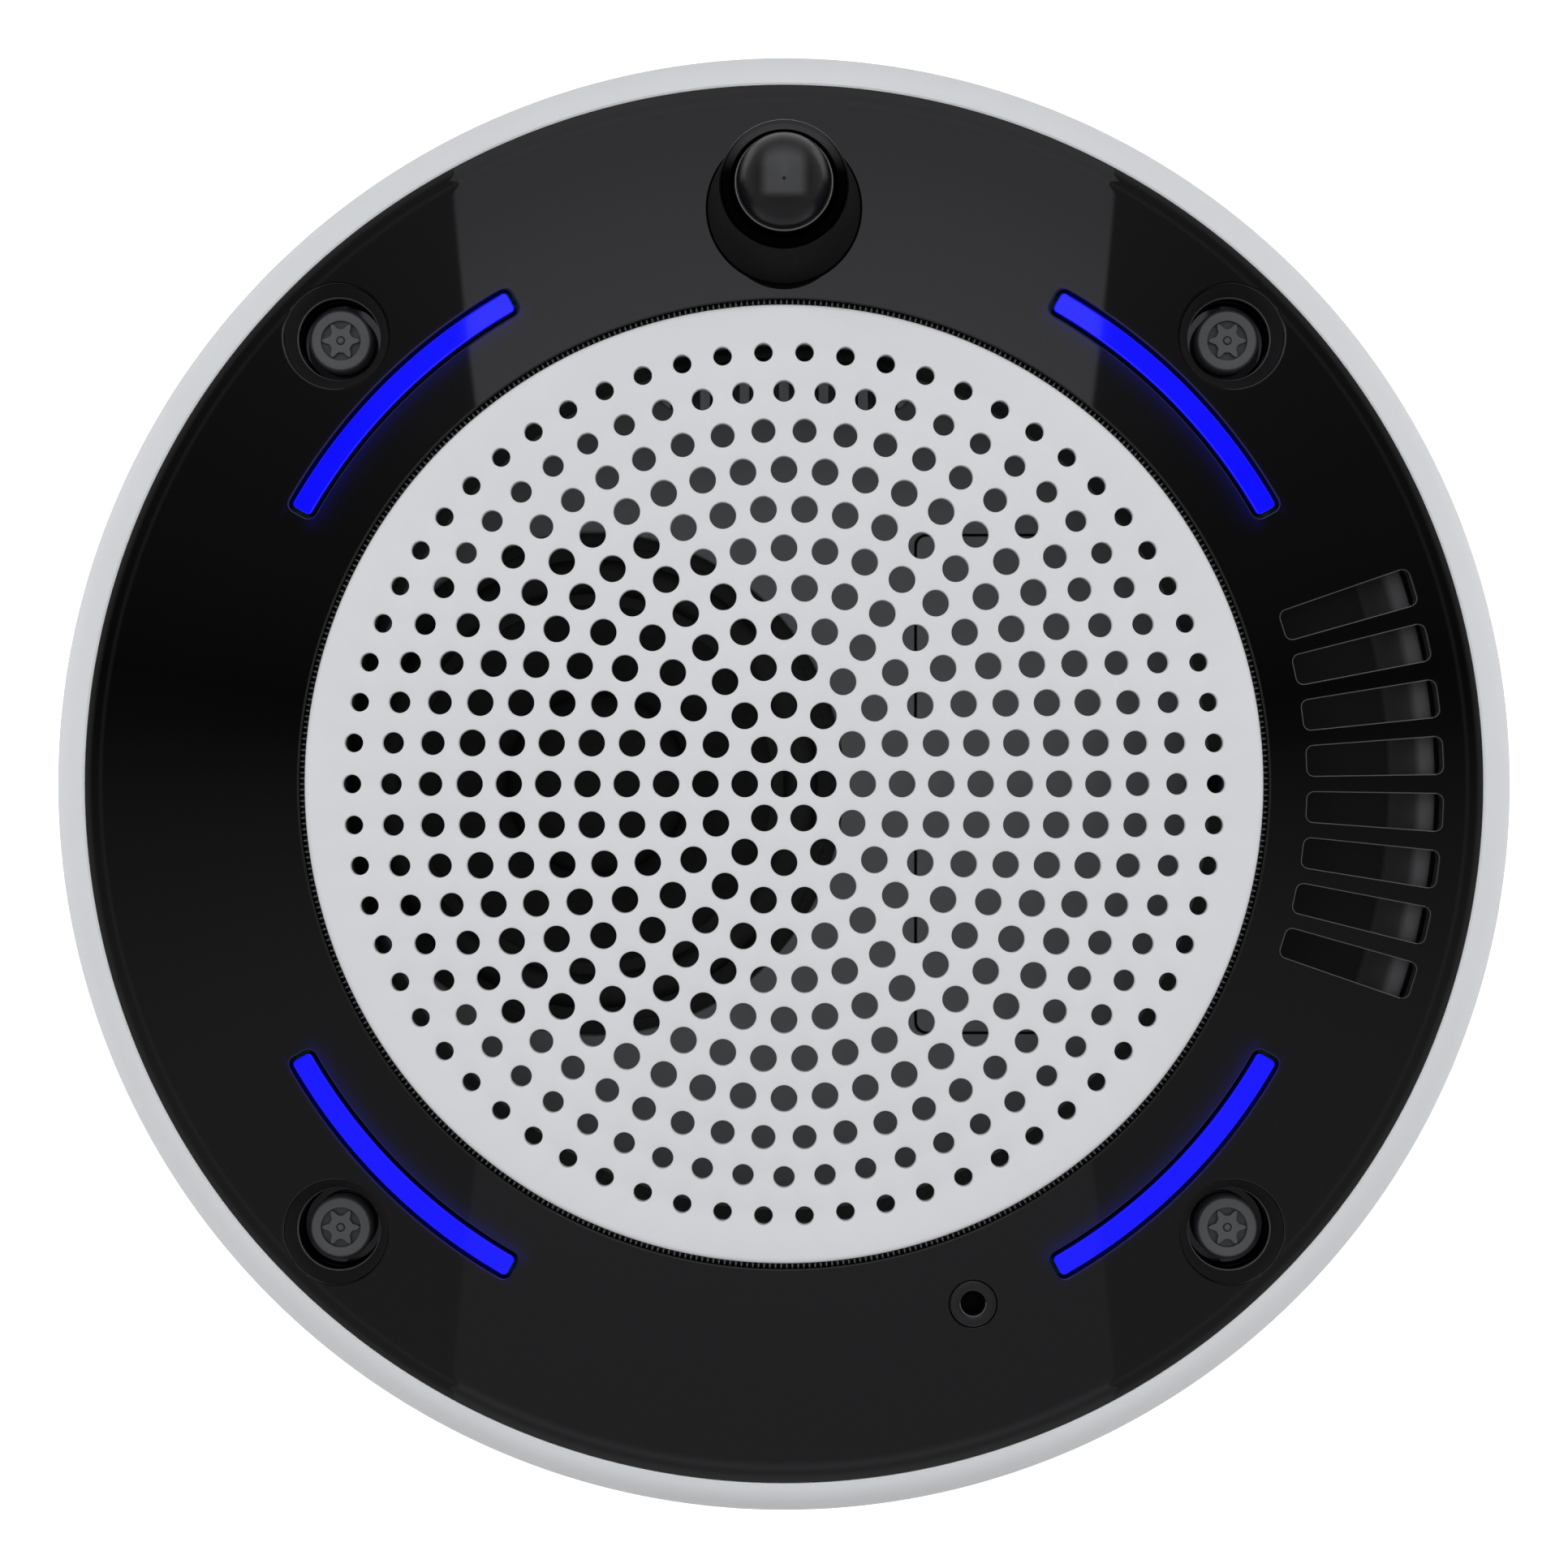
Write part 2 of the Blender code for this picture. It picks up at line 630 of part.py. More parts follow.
def make_speaker_grille():
    """A shallow pan of sheet metal with its skirt turned down, solid where it is perforated."""
    under = GRILLE_TOP_Z - GRILLE_SHEET
    profile = [
        (0, under),
        (GRILLE_FLAT_R, under),
        (GRILLE_R - GRILLE_SHEET, under - 0.5),
        (GRILLE_R - GRILLE_SHEET, GRILLE_SKIRT_Z),
        (GRILLE_R, GRILLE_SKIRT_Z),
        (GRILLE_R, GRILLE_FALL_Z[1]),
        (GRILLE_R - 0.6, GRILLE_FALL_Z[0]),
        (GRILLE_FLAT_R, GRILLE_TOP_Z),
        (0, GRILLE_TOP_Z),
    ]
    turned("speaker_grille", profile, "white_paint")


def make_grille_retainer():
    inner, outer = RETAINER_R
    flange_r, flange_low, flange_high = RETAINER_FLANGE
    low, high = RETAINER_Z
    profile = [
        (inner, low),
        (outer, low),
        (outer, flange_low),
        (flange_r, flange_low),
        (flange_r, flange_high),
        (outer, flange_high),
        (outer, high),
        (inner, high),
    ]
    turned("grille_retainer", profile, "satin_black")


def make_sensor_boss():
    """A truncated cone through the fascia, bored for the dome and its board."""
    flange_r, low, flange_top = BOSS_FLANGE
    board_shelf = SENSOR_BOARD_Z[0] - GAP
    profile = [
        (SENSOR_BOARD_R - 0.5, low),
        (flange_r, low),
        (flange_r, flange_top),
        (BOSS_BASE_R, flange_top),
        (BOSS_BASE_R, BOSS_BASE_Z),
        BOSS_SHOULDER,
        BOSS_CROWN,
        (BOSS_BORE_R, BOSS_CROWN[1]),
        (BOSS_BORE_R, DOME_SEAT_Z),
        (SENSOR_BOARD_R + GAP, DOME_SEAT_Z),
        (SENSOR_BOARD_R + GAP, board_shelf),
        (SENSOR_BOARD_R - 0.5, board_shelf),
    ]
    turned("sensor_boss", profile, "gloss_black", (0, DOME_Y), MEDIUM_SIDES)


def make_sensor_dome():
    """A thin cap: a short cylinder under a slightly flattened half ball, open below."""
    rise = DOME_TIP_Z - DOME_SPRING_Z
    outside = []
    inside = []
    for i in range(DOME_STEPS + 1):
        turn = math.radians(90 * i / DOME_STEPS)
        across, up = math.cos(turn), math.sin(turn)
        outside.append((DOME_R * across, DOME_SPRING_Z + rise * up))
        inside.append(((DOME_R - DOME_WALL) * across, DOME_SPRING_Z + (rise - DOME_WALL) * up))
    outside[-1] = (0, DOME_TIP_Z)
    inside[-1] = (0, DOME_TIP_Z - DOME_WALL)
    low = DOME_SEAT_Z + GAP
    profile = [*reversed(inside), (DOME_R - DOME_WALL, low), (DOME_R, low), *outside]
    turned("sensor_dome", profile, "gloss_black", (0, DOME_Y), MEDIUM_SIDES)


def make_motion_sensor():
    low, high = SENSOR_BOARD_Z
    extruded(
        "sensor_board", circle(SENSOR_BOARD_R, (0, DOME_Y), SCREW_SIDES), (low, high), "board_green"
    )
    brim_r, brim_thick = MOTION_CAN_BRIM
    can = [
        (0, high + GAP),
        (brim_r, high + GAP),
        (brim_r, high + GAP + brim_thick),
        (MOTION_CAN_R, high + GAP + brim_thick),
        (MOTION_CAN_R, MOTION_CAN_TOP_Z),
        (0, MOTION_CAN_TOP_Z),
    ]
    turned("motion_sensor", can, "zinc_steel", (0, DOME_Y), SCREW_SIDES)


def make_microphone():
    """The port's ring, let into the fascia, and the small board behind it."""
    centre = polar(PORT_CIRCLE_R, PORT_ANGLE)
    flange_r, flange_low, flange_top = PORT_FLANGE
    ring = [
        (PORT_HOLE_R, flange_low),
        (flange_r, flange_low),
        (flange_r, flange_top),
        (PORT_R, flange_top),
        (PORT_R, PORT_TOP_Z),
        (PORT_HOLE_R, PORT_TOP_Z),
    ]
    turned("microphone_port", ring, "satin_black", centre, SMALL_SIDES)
    radius, low, high = PORT_BOARD
    extruded("microphone_board", circle(radius, centre), (low, high), "board_green")


def make_vent_baffle():
    """A sector of a ring under the air slots: a flat floor that rises to a rounded ramp."""
    ramp_start, ramp_top = BAFFLE_RAMP
    inner, outer = BAFFLE_R
    section = [(inner, BAFFLE_BOTTOM_Z), (outer, BAFFLE_BOTTOM_Z), (outer, ramp_top)]
    for i in range(BAFFLE_RAMP_STEPS + 1):
        turn = math.radians(90 * i / BAFFLE_RAMP_STEPS)
        reach = (outer - BAFFLE_CREST - ramp_start) * math.sin(turn)
        rise = (ramp_top - BAFFLE_FLOOR_Z) * math.cos(turn)
        section.append((outer - BAFFLE_CREST - reach, BAFFLE_FLOOR_Z + rise))
    section.append((inner, BAFFLE_FLOOR_Z))
    mesh = bmesh.new()
    start = math.radians(-BAFFLE_HALF_ANGLE)
    corners = [
        mesh.verts.new((r * math.cos(start) * MM, r * math.sin(start) * MM, z * MM))
        for r, z in section
    ]
    face = mesh.faces.new(corners)
    bmesh.ops.spin(
        mesh,
        geom=[face],
        cent=(0, 0, 0),
        axis=(0, 0, 1),
        dvec=(0, 0, 0),
        angle=math.radians(2 * BAFFLE_HALF_ANGLE),
        steps=10,
        use_merge=False,
        use_duplicate=False,
    )
    place("vent_baffle", mesh, "satin_black")


def make_chassis():
    """The dark plate behind the grille, and the lid of the sensor chamber let into it."""
    low, high = CHASSIS_Z
    plate = extruded("chassis_plate", circle(CHASSIS_R, sides=LARGE_SIDES), (low, high), "dark_grey")
    holes = [
        cylinder(DRIVER_OPENING_R, low - 1, high + 1, (DRIVER_X, 0), LARGE_SIDES),
        prism(rectangle(LID_OPENING, LID_CORNER), low - 1, high + 1),
        prism(rectangle(HEAT_POCKET, POCKET_CORNER), low - 1, high + 1),
        prism(arc_bar(AIR_NOTCH_R, 0, AIR_NOTCH_HALF_ANGLE), low - 1, high + 1),
    ]
    for centre in diagonal_points(SCREW_CIRCLE_R):
        holes.append(cylinder(POST_SPIGOT_R + GAP, low - 1, high + 1, centre))
    for centre in driver_screw_points():
        holes.append(cylinder(DRIVER_SCREW_HOLE_R, low - 1, high - 0.6, centre, 8))
    cut(plate, holes)
    outline = rectangle(grown(LID_OPENING, -GAP), LID_CORNER - GAP)
    lid = extruded("sensor_chamber_lid", outline, (low, high), "dark_grey")
    cut(lid, [prism(rectangle(LID_NOTCH, NOTCH_CORNER), low - 1, high + 1)])


def driver_screw_points():
    return [polar(EAR_CIRCLE_R, 45 + 90 * i, (DRIVER_X, 0)) for i in range(4)]


def make_driver_frame():
    """The basket: a flange with four ears, a slanted wall with windows, a spider shelf."""
    low, high = FLANGE_Z
    base = TOP_PLATE_Z[1] + GAP
    profile = [
        (FLANGE_R, high),
        (27.0, high),
        (27.0, 36.8),
        (21.3, 29.7),
        (19.4, 29.7),
        (19.4, base + 1.3),
        (10.9, base + 1.3),
        (10.9, base),
        (20.5, base),
        (22.5, 29.0),
        (29.0, low),
        (FLANGE_R, low),
    ]
    centre = (DRIVER_X, 0)
    frame = turned("driver_frame", profile, "zinc_steel", centre, MEDIUM_SIDES)
    ears = [cylinder(EAR_R, low, high, point) for point in driver_screw_points()]
    join(frame, ears)
    holes = [cylinder(DRIVER_SCREW_HOLE_R, low - 1, high + 1, p, 8) for p in driver_screw_points()]
    for i in range(4):
        window = arc_shifted(BASKET_WINDOW_R, 90 * i, BASKET_WINDOW_HALF_ANGLE, centre)
        holes.append(prism(window, BASKET_WINDOW_LOW_Z, low - 0.8))
    cut(frame, holes)


def arc_shifted(radii, middle, half_angle, centre):
    """A bent bar about a centre of its own."""
    return [(x + centre[0], y + centre[1]) for x, y in arc_bar(radii, middle, half_angle, steps=4)]


def make_surround():
    """The gasket and the half-round rubber roll that the cone hangs in."""
    centre = (DRIVER_X, 0)
    low = FLANGE_Z[1] + GAP
    high = low + SURROUND_THICK
    chassis_low = CHASSIS_Z[0] - GAP
    inner, outer = DRIVER_GASKET_R
    gasket = [(inner, low), (outer, low), (outer, chassis_low), (inner, chassis_low)]
    turned("driver_gasket", gasket, "black_rubber", centre, MEDIUM_SIDES)
    inner, outer = SURROUND_R
    over = []
    under = []
    for i in range(ROLL_STEPS + 1):
        turn = math.radians(180 * i / ROLL_STEPS)
        across, up = math.cos(turn), math.sin(turn)
        over.append((ROLL_MIDDLE_R + ROLL_HALF * across, high + ROLL_HIGH * up))
        under.append((ROLL_MIDDLE_R + (ROLL_HALF - ROLL_WALL) * across, low + ROLL_HIGH * up))
    roll = [(inner, low), *reversed(under), (outer, low), (outer, high), *over, (inner, high)]
    turned("driver_surround", roll, "black_rubber", centre, MEDIUM_SIDES)


def make_moving_cone():
    """The cone, its dust cap and the voice coil, which move along the driver's axis."""
    centre = (DRIVER_X, 0)
    axis = (DRIVER_X, 0, FLANGE_Z[1])
    turned("driver_cone", CONE, "cone_paper", centre, MEDIUM_SIDES, axis)
    lining_r, cap_r = DUST_CAP_R
    lining_rise, cap_rise = DUST_CAP_RISE
    cap = []
    lining = []
    for i in range(DUST_CAP_STEPS):
        turn = math.radians(90 * i / DUST_CAP_STEPS)
        across, up = math.cos(turn), math.sin(turn)
        cap.append((cap_r * across, DUST_CAP_Z + cap_rise * up))
        lining.append((lining_r * across, DUST_CAP_Z + lining_rise * up))
    cap.append((0, DUST_CAP_Z + cap_rise))
    lining.append((0, DUST_CAP_Z + lining_rise))
    turned("driver_dust_cap", [*reversed(lining), *cap], "cone_paper", centre, MEDIUM_SIDES, axis)
    (inner, outer), (low, high) = COIL_R, COIL_Z
    coil = [(inner, low), (outer, low), (outer, high), (inner, high)]
    turned("driver_voice_coil", coil, "copper", centre, MEDIUM_SIDES, axis)


def make_spider():
    """The corrugated cloth disc that centres the voice coil."""
    waves = [(SPIDER_INNER_R + SPIDER_PITCH * i, SPIDER_Z[i % 2]) for i in range(SPIDER_WAVES)]
    upper = [(radius, z + SPIDER_THICK) for radius, z in reversed(waves)]
    profile = [*waves, *SPIDER_OUTER, *upper]
    turned("driver_spider", profile, "amber_cloth", (DRIVER_X, 0), MEDIUM_SIDES)


def make_motor():
    """Top plate, ring magnet and yoke, one below the other."""
    centre = (DRIVER_X, 0)
    low, high = TOP_PLATE_Z
    inner, outer = TOP_PLATE_R
    plate = [(inner, low), (outer, low), (outer, high), (inner, high)]
    turned("driver_top_plate", plate, "zinc_steel", centre, MEDIUM_SIDES)
    yoke_low, yoke_high = YOKE_Z
    inner, outer = MAGNET_R
    magnet_z = yoke_high + GAP, low - GAP
    magnet = [
        (inner, magnet_z[0]),
        (outer, magnet_z[0]),
        (outer, magnet_z[1]),
        (inner, magnet_z[1]),
    ]
    turned("driver_magnet", magnet, "ferrite", centre, MEDIUM_SIDES)
    yoke = [
        (YOKE_BORE_R, yoke_low),
        (YOKE_R, yoke_low),
        (YOKE_R, yoke_high),
        (POLE_R, yoke_high),
        (POLE_R, high),
        (YOKE_BORE_R, high),
    ]
    turned("driver_yoke", yoke, "zinc_steel", centre, MEDIUM_SIDES)


def make_driver_screws():
    """Four screws from behind, through the ears and into the chassis plate."""
    head_r, head_high = DRIVER_SCREW_HEAD
    seat = FLANGE_Z[0] - GAP
    tip = CHASSIS_Z[1] - DRIVER_SCREW_COVER
    for i, point in enumerate(driver_screw_points(), 1):
        profile = [
            (0, seat - head_high),
            (head_r, seat - head_high),
            (head_r, seat),
            (DRIVER_SCREW_R, seat),
            (DRIVER_SCREW_R, tip),
            (0, tip),
        ]
        turned(f"driver_screw_{i}", profile, "zinc_steel", point, SMALL_SIDES)


def make_air_sensor():
    """The particle sensor's case, with a round fan well and the pin that the fan turns on."""
    low, high = AIR_CASE_Z
    case = extruded("air_sensor_case", rectangle(AIR_CASE, 2), (low, high), "satin_black")
    well = [
        (0, FAN_PIN_TOP_Z),
        (FAN_PIN_R, FAN_PIN_TOP_Z),
        (FAN_PIN_R, FAN_FLOOR_Z),
        (FAN_WELL_R, FAN_FLOOR_Z),
        (FAN_WELL_R, high + 1),
        (0, high + 1),
    ]
    cut(case, [(add_turned, (well, FAN_CENTRE, MEDIUM_SIDES))])
    hub = [
        (0, FAN_PIN_TOP_Z + FAN_CLEARANCE),
        (FAN_PIN_R + GAP, FAN_PIN_TOP_Z + FAN_CLEARANCE),
        (FAN_PIN_R + GAP, FAN_FLOOR_Z + FAN_CLEARANCE),
        (FAN_HUB_R, FAN_FLOOR_Z + FAN_CLEARANCE),
        (FAN_HUB_R, FAN_TOP_Z - 0.6),
        (FAN_HUB_R - 0.6, FAN_TOP_Z),
        (0, FAN_TOP_Z),
    ]
    axis = (*FAN_CENTRE, FAN_FLOOR_Z)
    fan = turned("air_sensor_fan", hub, "satin_black", FAN_CENTRE, FAN_SIDES, axis)
    blades = []
    for i in range(FAN_BLADES):
        blade = fan_blade(360 * i / FAN_BLADES)
        blades.append(prism(blade, FAN_FLOOR_Z + 0.9, FAN_TOP_Z - 1.2))
    join(fan, blades)


def fan_blade(start):
    """The outline of one swept blade, which begins inside the hub."""
    root = FAN_HUB_R - 0.8
    edges = []
    for side in (-1, 1):
        edge = []
        for share in (0, 0.5, 1):
            radius = root + (FAN_BLADE_R - root) * share
            sweep = start + FAN_BLADE_SWEEP * share * share
            spread = side * math.degrees(FAN_BLADE_HALF_THICK / radius)
            edge.append(polar(radius, sweep + spread, FAN_CENTRE))
        edges.append(edge)
    return [*edges[0], *reversed(edges[1])]


def make_boards():
    low, high = BOARD_Z
    main = extruded("main_board", rectangle(MAIN_BOARD, 3), (low, high), "board_green")
    cut(main, [cylinder(POST_PILOT_R, low - 1, high + 1, centre, 8) for centre in BOARD_POSTS])
    for i, centre in enumerate(BOARD_POSTS, 1):
        head = [(radius, high + GAP + z) for radius, z in BOARD_SCREW_HEAD]
        profile = [
            (0, low - BOARD_SCREW_DEPTH),
            (BOARD_SCREW_R, low - BOARD_SCREW_DEPTH),
            (BOARD_SCREW_R, high + GAP),
            *head,
            (0, head[-1][1]),
        ]
        turned(f"board_screw_{i}", profile, "zinc_steel", centre, SMALL_SIDES)
    extruded("amplifier_board", rectangle(AMPLIFIER_BOARD, 2), (low, high), "board_green")
    seat = high + GAP
    transformer = rectangle(TRANSFORMER, 0.8)
    extruded("power_transformer", transformer, (seat, TRANSFORMER_TOP_Z), "ferrite")
    extruded("shield_can", rectangle(SHIELD_CAN, 0.8), (seat, SHIELD_CAN_TOP_Z), "zinc_steel")
    capacitor = [
        (0, seat),
        (CAPACITOR_R, seat),
        (CAPACITOR_R, CAPACITOR_TOP_Z - 0.5),
        (CAPACITOR_R - 0.4, CAPACITOR_TOP_Z),
        (0, CAPACITOR_TOP_Z),
    ]
    turned("board_capacitor", capacitor, "satin_black", CAPACITOR_XY, SMALL_SIDES)


def make_heat_sink():
    low, floor, top = HEAT_SINK_Z
    sink = extruded("heat_sink", rectangle(HEAT_SINK, 0.6), (low, floor), "aluminium")
    fins = []
    for i in range(FIN_COUNT):
        x = FIN_PITCH * (i - (FIN_COUNT - 1) / 2)
        box = (x - FIN_THICK / 2, HEAT_SINK[1] + 0.2, x + FIN_THICK / 2, HEAT_SINK[3] - 0.2)
        fins.append(prism(rectangle(box), floor - 0.5, top))
    join(sink, fins)


def make_sockets():
    """The network socket and the terminal block, which open at the back of the housing."""
    low, high = SOCKET_Z
    socket = extruded("network_socket", rectangle(SOCKET), (low, high), "zinc_steel")
    cut(socket, [prism(rectangle(SOCKET_MOUTH), low - 1, SOCKET_DEPTH_Z)])
    cut(socket, [prism(rectangle(SOCKET_LATCH), low - 1, SOCKET_DEPTH_Z - 2)])
    block = extruded("terminal_block", rectangle(TERMINALS), (low, high), "satin_black")
    ways = []
    step = (TERMINALS[2] - TERMINALS[0]) / TERMINAL_WAYS
    middle_y = (TERMINALS[1] + TERMINALS[3]) / 2
    half = TERMINAL_HOLE / 2
    for i in range(TERMINAL_WAYS):
        x = TERMINALS[0] + step * (i + 0.5)
        way = (x - half, middle_y - half, x + half, middle_y + half)
        ways.append(prism(rectangle(way), low - 1, low + TERMINAL_DEPTH))
    cut(block, ways)


def make_reset():
    """The button that is pressed through the back wall, and the switch that it works."""
    low, high = BUTTON_Z
    wall = BACK_WALL[1]
    collar_r, collar_thick = BUTTON_COLLAR
    profile = [
        (0, low),
        (BUTTON_R - 0.4, low),
        (BUTTON_R, low + 0.4),
        (BUTTON_R, wall + GAP),
        (collar_r, wall + GAP),
        (collar_r, wall + GAP + collar_thick),
        (BUTTON_STEM_R, wall + GAP + collar_thick),
        (BUTTON_STEM_R, high),
        (0, high),
    ]
    turned("reset_button", profile, "satin_black", BUTTON_XY, SMALL_SIDES, (*BUTTON_XY, low))
    tip, body_low, body_high = SWITCH_Z
    body = rectangle(grown((*BUTTON_XY, *BUTTON_XY), SWITCH_HALF))
    switch = extruded("reset_switch", body, (body_low, body_high), "satin_black")
    join(switch, [cylinder(SWITCH_TIP_R, tip, body_low + 0.5, BUTTON_XY)])


def main():
    for thing in list(bpy.data.objects):
        bpy.data.objects.remove(thing, do_unlink=True)
    make_mounting_plate()
    make_rear_housing()
    make_fascia_gasket()
    make_front_fascia()
    make_fascia_screws()
    make_lights()
    make_speaker_grille()
    make_grille_retainer()
    make_sensor_boss()
    make_sensor_dome()
    make_motion_sensor()
    make_microphone()
    make_vent_baffle()
    make_chassis()
    make_driver_frame()
    make_surround()
    make_moving_cone()
    make_spider()
    make_motor()
    make_driver_screws()
    make_air_sensor()
    make_boards()
    make_heat_sink()
    make_sockets()
    make_reset()


main()
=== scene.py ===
"""Looks of the round speaker and sensor unit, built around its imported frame.

Lengths are in millimetres and angles in degrees unless a name ends in _M; MM turns
millimetres into metres. The unit lies on its mounting face and the camera looks down on it.
"""

import json
import math

import bmesh
import bpy
import numpy as np
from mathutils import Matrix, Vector, kdtree
from mathutils.geometry import delaunay_2d_cdt


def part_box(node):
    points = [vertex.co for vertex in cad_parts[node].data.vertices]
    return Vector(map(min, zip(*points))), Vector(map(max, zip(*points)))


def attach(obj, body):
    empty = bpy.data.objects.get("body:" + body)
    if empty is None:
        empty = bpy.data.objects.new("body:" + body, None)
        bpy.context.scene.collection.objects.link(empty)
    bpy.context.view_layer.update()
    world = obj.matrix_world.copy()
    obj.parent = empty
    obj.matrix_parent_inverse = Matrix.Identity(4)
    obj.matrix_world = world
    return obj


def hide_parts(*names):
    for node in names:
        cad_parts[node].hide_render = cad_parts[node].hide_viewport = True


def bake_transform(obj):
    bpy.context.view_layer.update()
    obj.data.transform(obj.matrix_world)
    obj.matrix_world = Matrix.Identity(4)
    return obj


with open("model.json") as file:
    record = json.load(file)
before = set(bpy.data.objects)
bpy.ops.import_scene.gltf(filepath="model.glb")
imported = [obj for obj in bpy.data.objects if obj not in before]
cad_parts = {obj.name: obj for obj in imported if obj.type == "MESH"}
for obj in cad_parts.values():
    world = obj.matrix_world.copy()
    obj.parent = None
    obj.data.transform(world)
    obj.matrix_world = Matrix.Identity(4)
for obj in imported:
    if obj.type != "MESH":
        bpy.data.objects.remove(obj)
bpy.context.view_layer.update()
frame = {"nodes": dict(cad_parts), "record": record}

MM = 0.001
DIAGONALS = {"upper_right": 45, "upper_left": 135, "lower_left": 225, "lower_right": 315}


def extent(node):
    """A CAD node's lowest and highest corner, in millimetres."""
    low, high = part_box(node)
    return low / MM, high / MM


def middle(node):
    low, high = extent(node)
    return (low.x + high.x) / 2, (low.y + high.y) / 2


# Sizes that come from the frame.
HOUSING_R = extent("rear_housing")[1].x
HOUSING_TOP_Z = extent("rear_housing")[1].z
FASCIA_R = extent("front_fascia")[1].x
GRILLE_R = extent("speaker_grille")[1].x
DOME_XY = middle("sensor_dome")
DOME_R = extent("sensor_dome")[1].x
DOME_TIP_Z = extent("sensor_dome")[1].z
PORT_XY = middle("microphone_port")
DRIVER_XY = middle("driver_voice_coil")
SCREW_XY = {name: middle(f"fascia_screw_{name}") for name in DIAGONALS}
SCREW_TOP_Z = extent("fascia_screw_upper_left")[1].z
SCREW_R = (extent("fascia_screw_upper_left")[1].x - extent("fascia_screw_upper_left")[0].x) / 2

# Fascia: a shallow cone between a rounded inner edge and a grooved rim.
FASCIA_INNER_R = 58.7
FASCIA_INNER_Z = 52.4
FASCIA_SLOPE = math.tan(math.radians(2.0))
FASCIA_BOTTOM_Z = 49.0
EDGE = 0.16
SUPPORT = 0.07
RIM_PROFILE = (
    (82.0, 0.0), (82.25, 0.0), (82.45, -0.008), (82.65, -0.033), (82.85, -0.077), (83.05, -0.13),
    (83.25, -0.174), (83.45, -0.199), (83.65, -0.207), (83.85, -0.211), (84.05, -0.232),
    (84.3, -0.295), (84.6, -0.39), (FASCIA_R, -0.5),
)
WELL_PROFILE = ((5.12, -2.1), (6.22, -0.3), (6.3, -0.14), (6.4, -0.03), (6.56, 0.0), (6.68, 0.0))

BOSS_HOLE_R = 9.38
PORT_HOLE_R = 2.93

BACK_WALL_Z = 2.5, 5.0
BUTTON_XY = 14.0, -15.0
PLATE_R = 78.0
PLATE_THICK = 2.2
BOARD_POSTS = [(2, 34), (2, -34), (58, 34), (58, -34), (-14, 63.5), (14, 63.5), (0, 45.5)]

LIGHT_R = (65.95, 68.5)
LIGHT_HALF = 15.5
LIGHT_CORNER = 0.55
LIGHT_GAP = 0.5
# Glow in the fascia beside a bar's slot: the slot's edge, how far it reaches, how strong it is.
LIGHT_GLOW = ((LIGHT_R[0] - LIGHT_GAP, 0.72, 0.07), (LIGHT_R[1] + LIGHT_GAP, 0.22, 0.034))
VENT_ANGLES = [-17.5 + 5.0 * i for i in range(8)]
VENT_R = (63.35, 79.95)
VENT_HALF = 1.62
VENT_CORNER = 0.85

# Painted light on the baffle: (radius, grey level), paler in soft bands up the ramp's outer end.
BAFFLE_PAINTED_LIGHT = (
    (62.0, 0.015), (74.8, 0.015), (75.3, 0.048), (77.5, 0.044), (78.2, 0.105), (79.2, 0.095), (79.8, 0.03),
)
FLEX_SECTORS = 12
BOSS_LEAN = 0.035
# Which way the dome's painted reflection faces, as (y, z).
PAINTED_REFLECTION_TILT = 0.972, 0.234
BEAD_XY = DOME_XY[0], DOME_XY[1] + BOSS_LEAN * (DOME_TIP_Z - DOME_R - FASCIA_INNER_Z)

GRILLE_CROWN_Z = 53.25
GRILLE_FALL = 0.75
GRILLE_EDGE_R = 57.3
GRILLE_SHEET = 1.0
GRILLE_PITCH = 4.75
GRILLE_RINGS = 11
HOLE_R = 1.62
HOLE_R_LAST_RINGS = {9: 1.46, 10: 1.30, 11: 1.13}
TEETH = 534


# ---------------------------------------------------------------- outlines and profiles


def polar(radius, angle, centre=(0.0, 0.0)):
    turn = math.radians(angle)
    return centre[0] + radius * math.cos(turn), centre[1] + radius * math.sin(turn)


def circle(radius, centre=(0.0, 0.0), sides=64, start=0.0):
    return [polar(radius, start + 360 * i / sides, centre) for i in range(sides)]


def arc_bar(radii, mid, half, corner, grow=0.0, steps=24, corner_steps=5):
    """A bar bent along a circle, with rounded corners, grown by the same amount all round."""
    inner, outer = radii[0] - grow, radii[1] + grow
    half = half + math.degrees(grow / ((radii[0] + radii[1]) / 2))
    corner = max(corner + grow, 0.02)
    outline = []
    for radius, side, turn in ((outer - corner, 1, 0), (inner + corner, -1, 180)):
        inset = math.degrees(corner / radius)
        first = mid - side * (half - inset)
        last = mid + side * (half - inset)
        for i in range(corner_steps + 1):
            outline.append(polar(corner, first + turn - 90 + 90 * i / corner_steps, polar(radius, first)))
        for i in range(1, steps):
            outline.append(polar(radius + side * corner, first + (last - first) * i / steps))
        for i in range(corner_steps + 1):
            outline.append(polar(corner, last + turn + 90 * i / corner_steps, polar(radius, last)))
    return outline


def rectangle(low_x, low_y, high_x, high_y, corner=1.0, grow=0.0, steps=5):
    """A rectangle with rounded corners, grown by the same amount all round."""
    low_x, low_y, high_x, high_y = low_x - grow, low_y - grow, high_x + grow, high_y + grow
    corner = max(corner + grow, 0.02)
    centres = (
        (high_x - corner, high_y - corner, 0),
        (low_x + corner, high_y - corner, 90),
        (low_x + corner, low_y + corner, 180),
        (high_x - corner, low_y + corner, 270),
    )
    return [
        polar(corner, start + 90 * i / steps, (x, y))
        for x, y, start in centres
        for i in range(steps + 1)
    ]


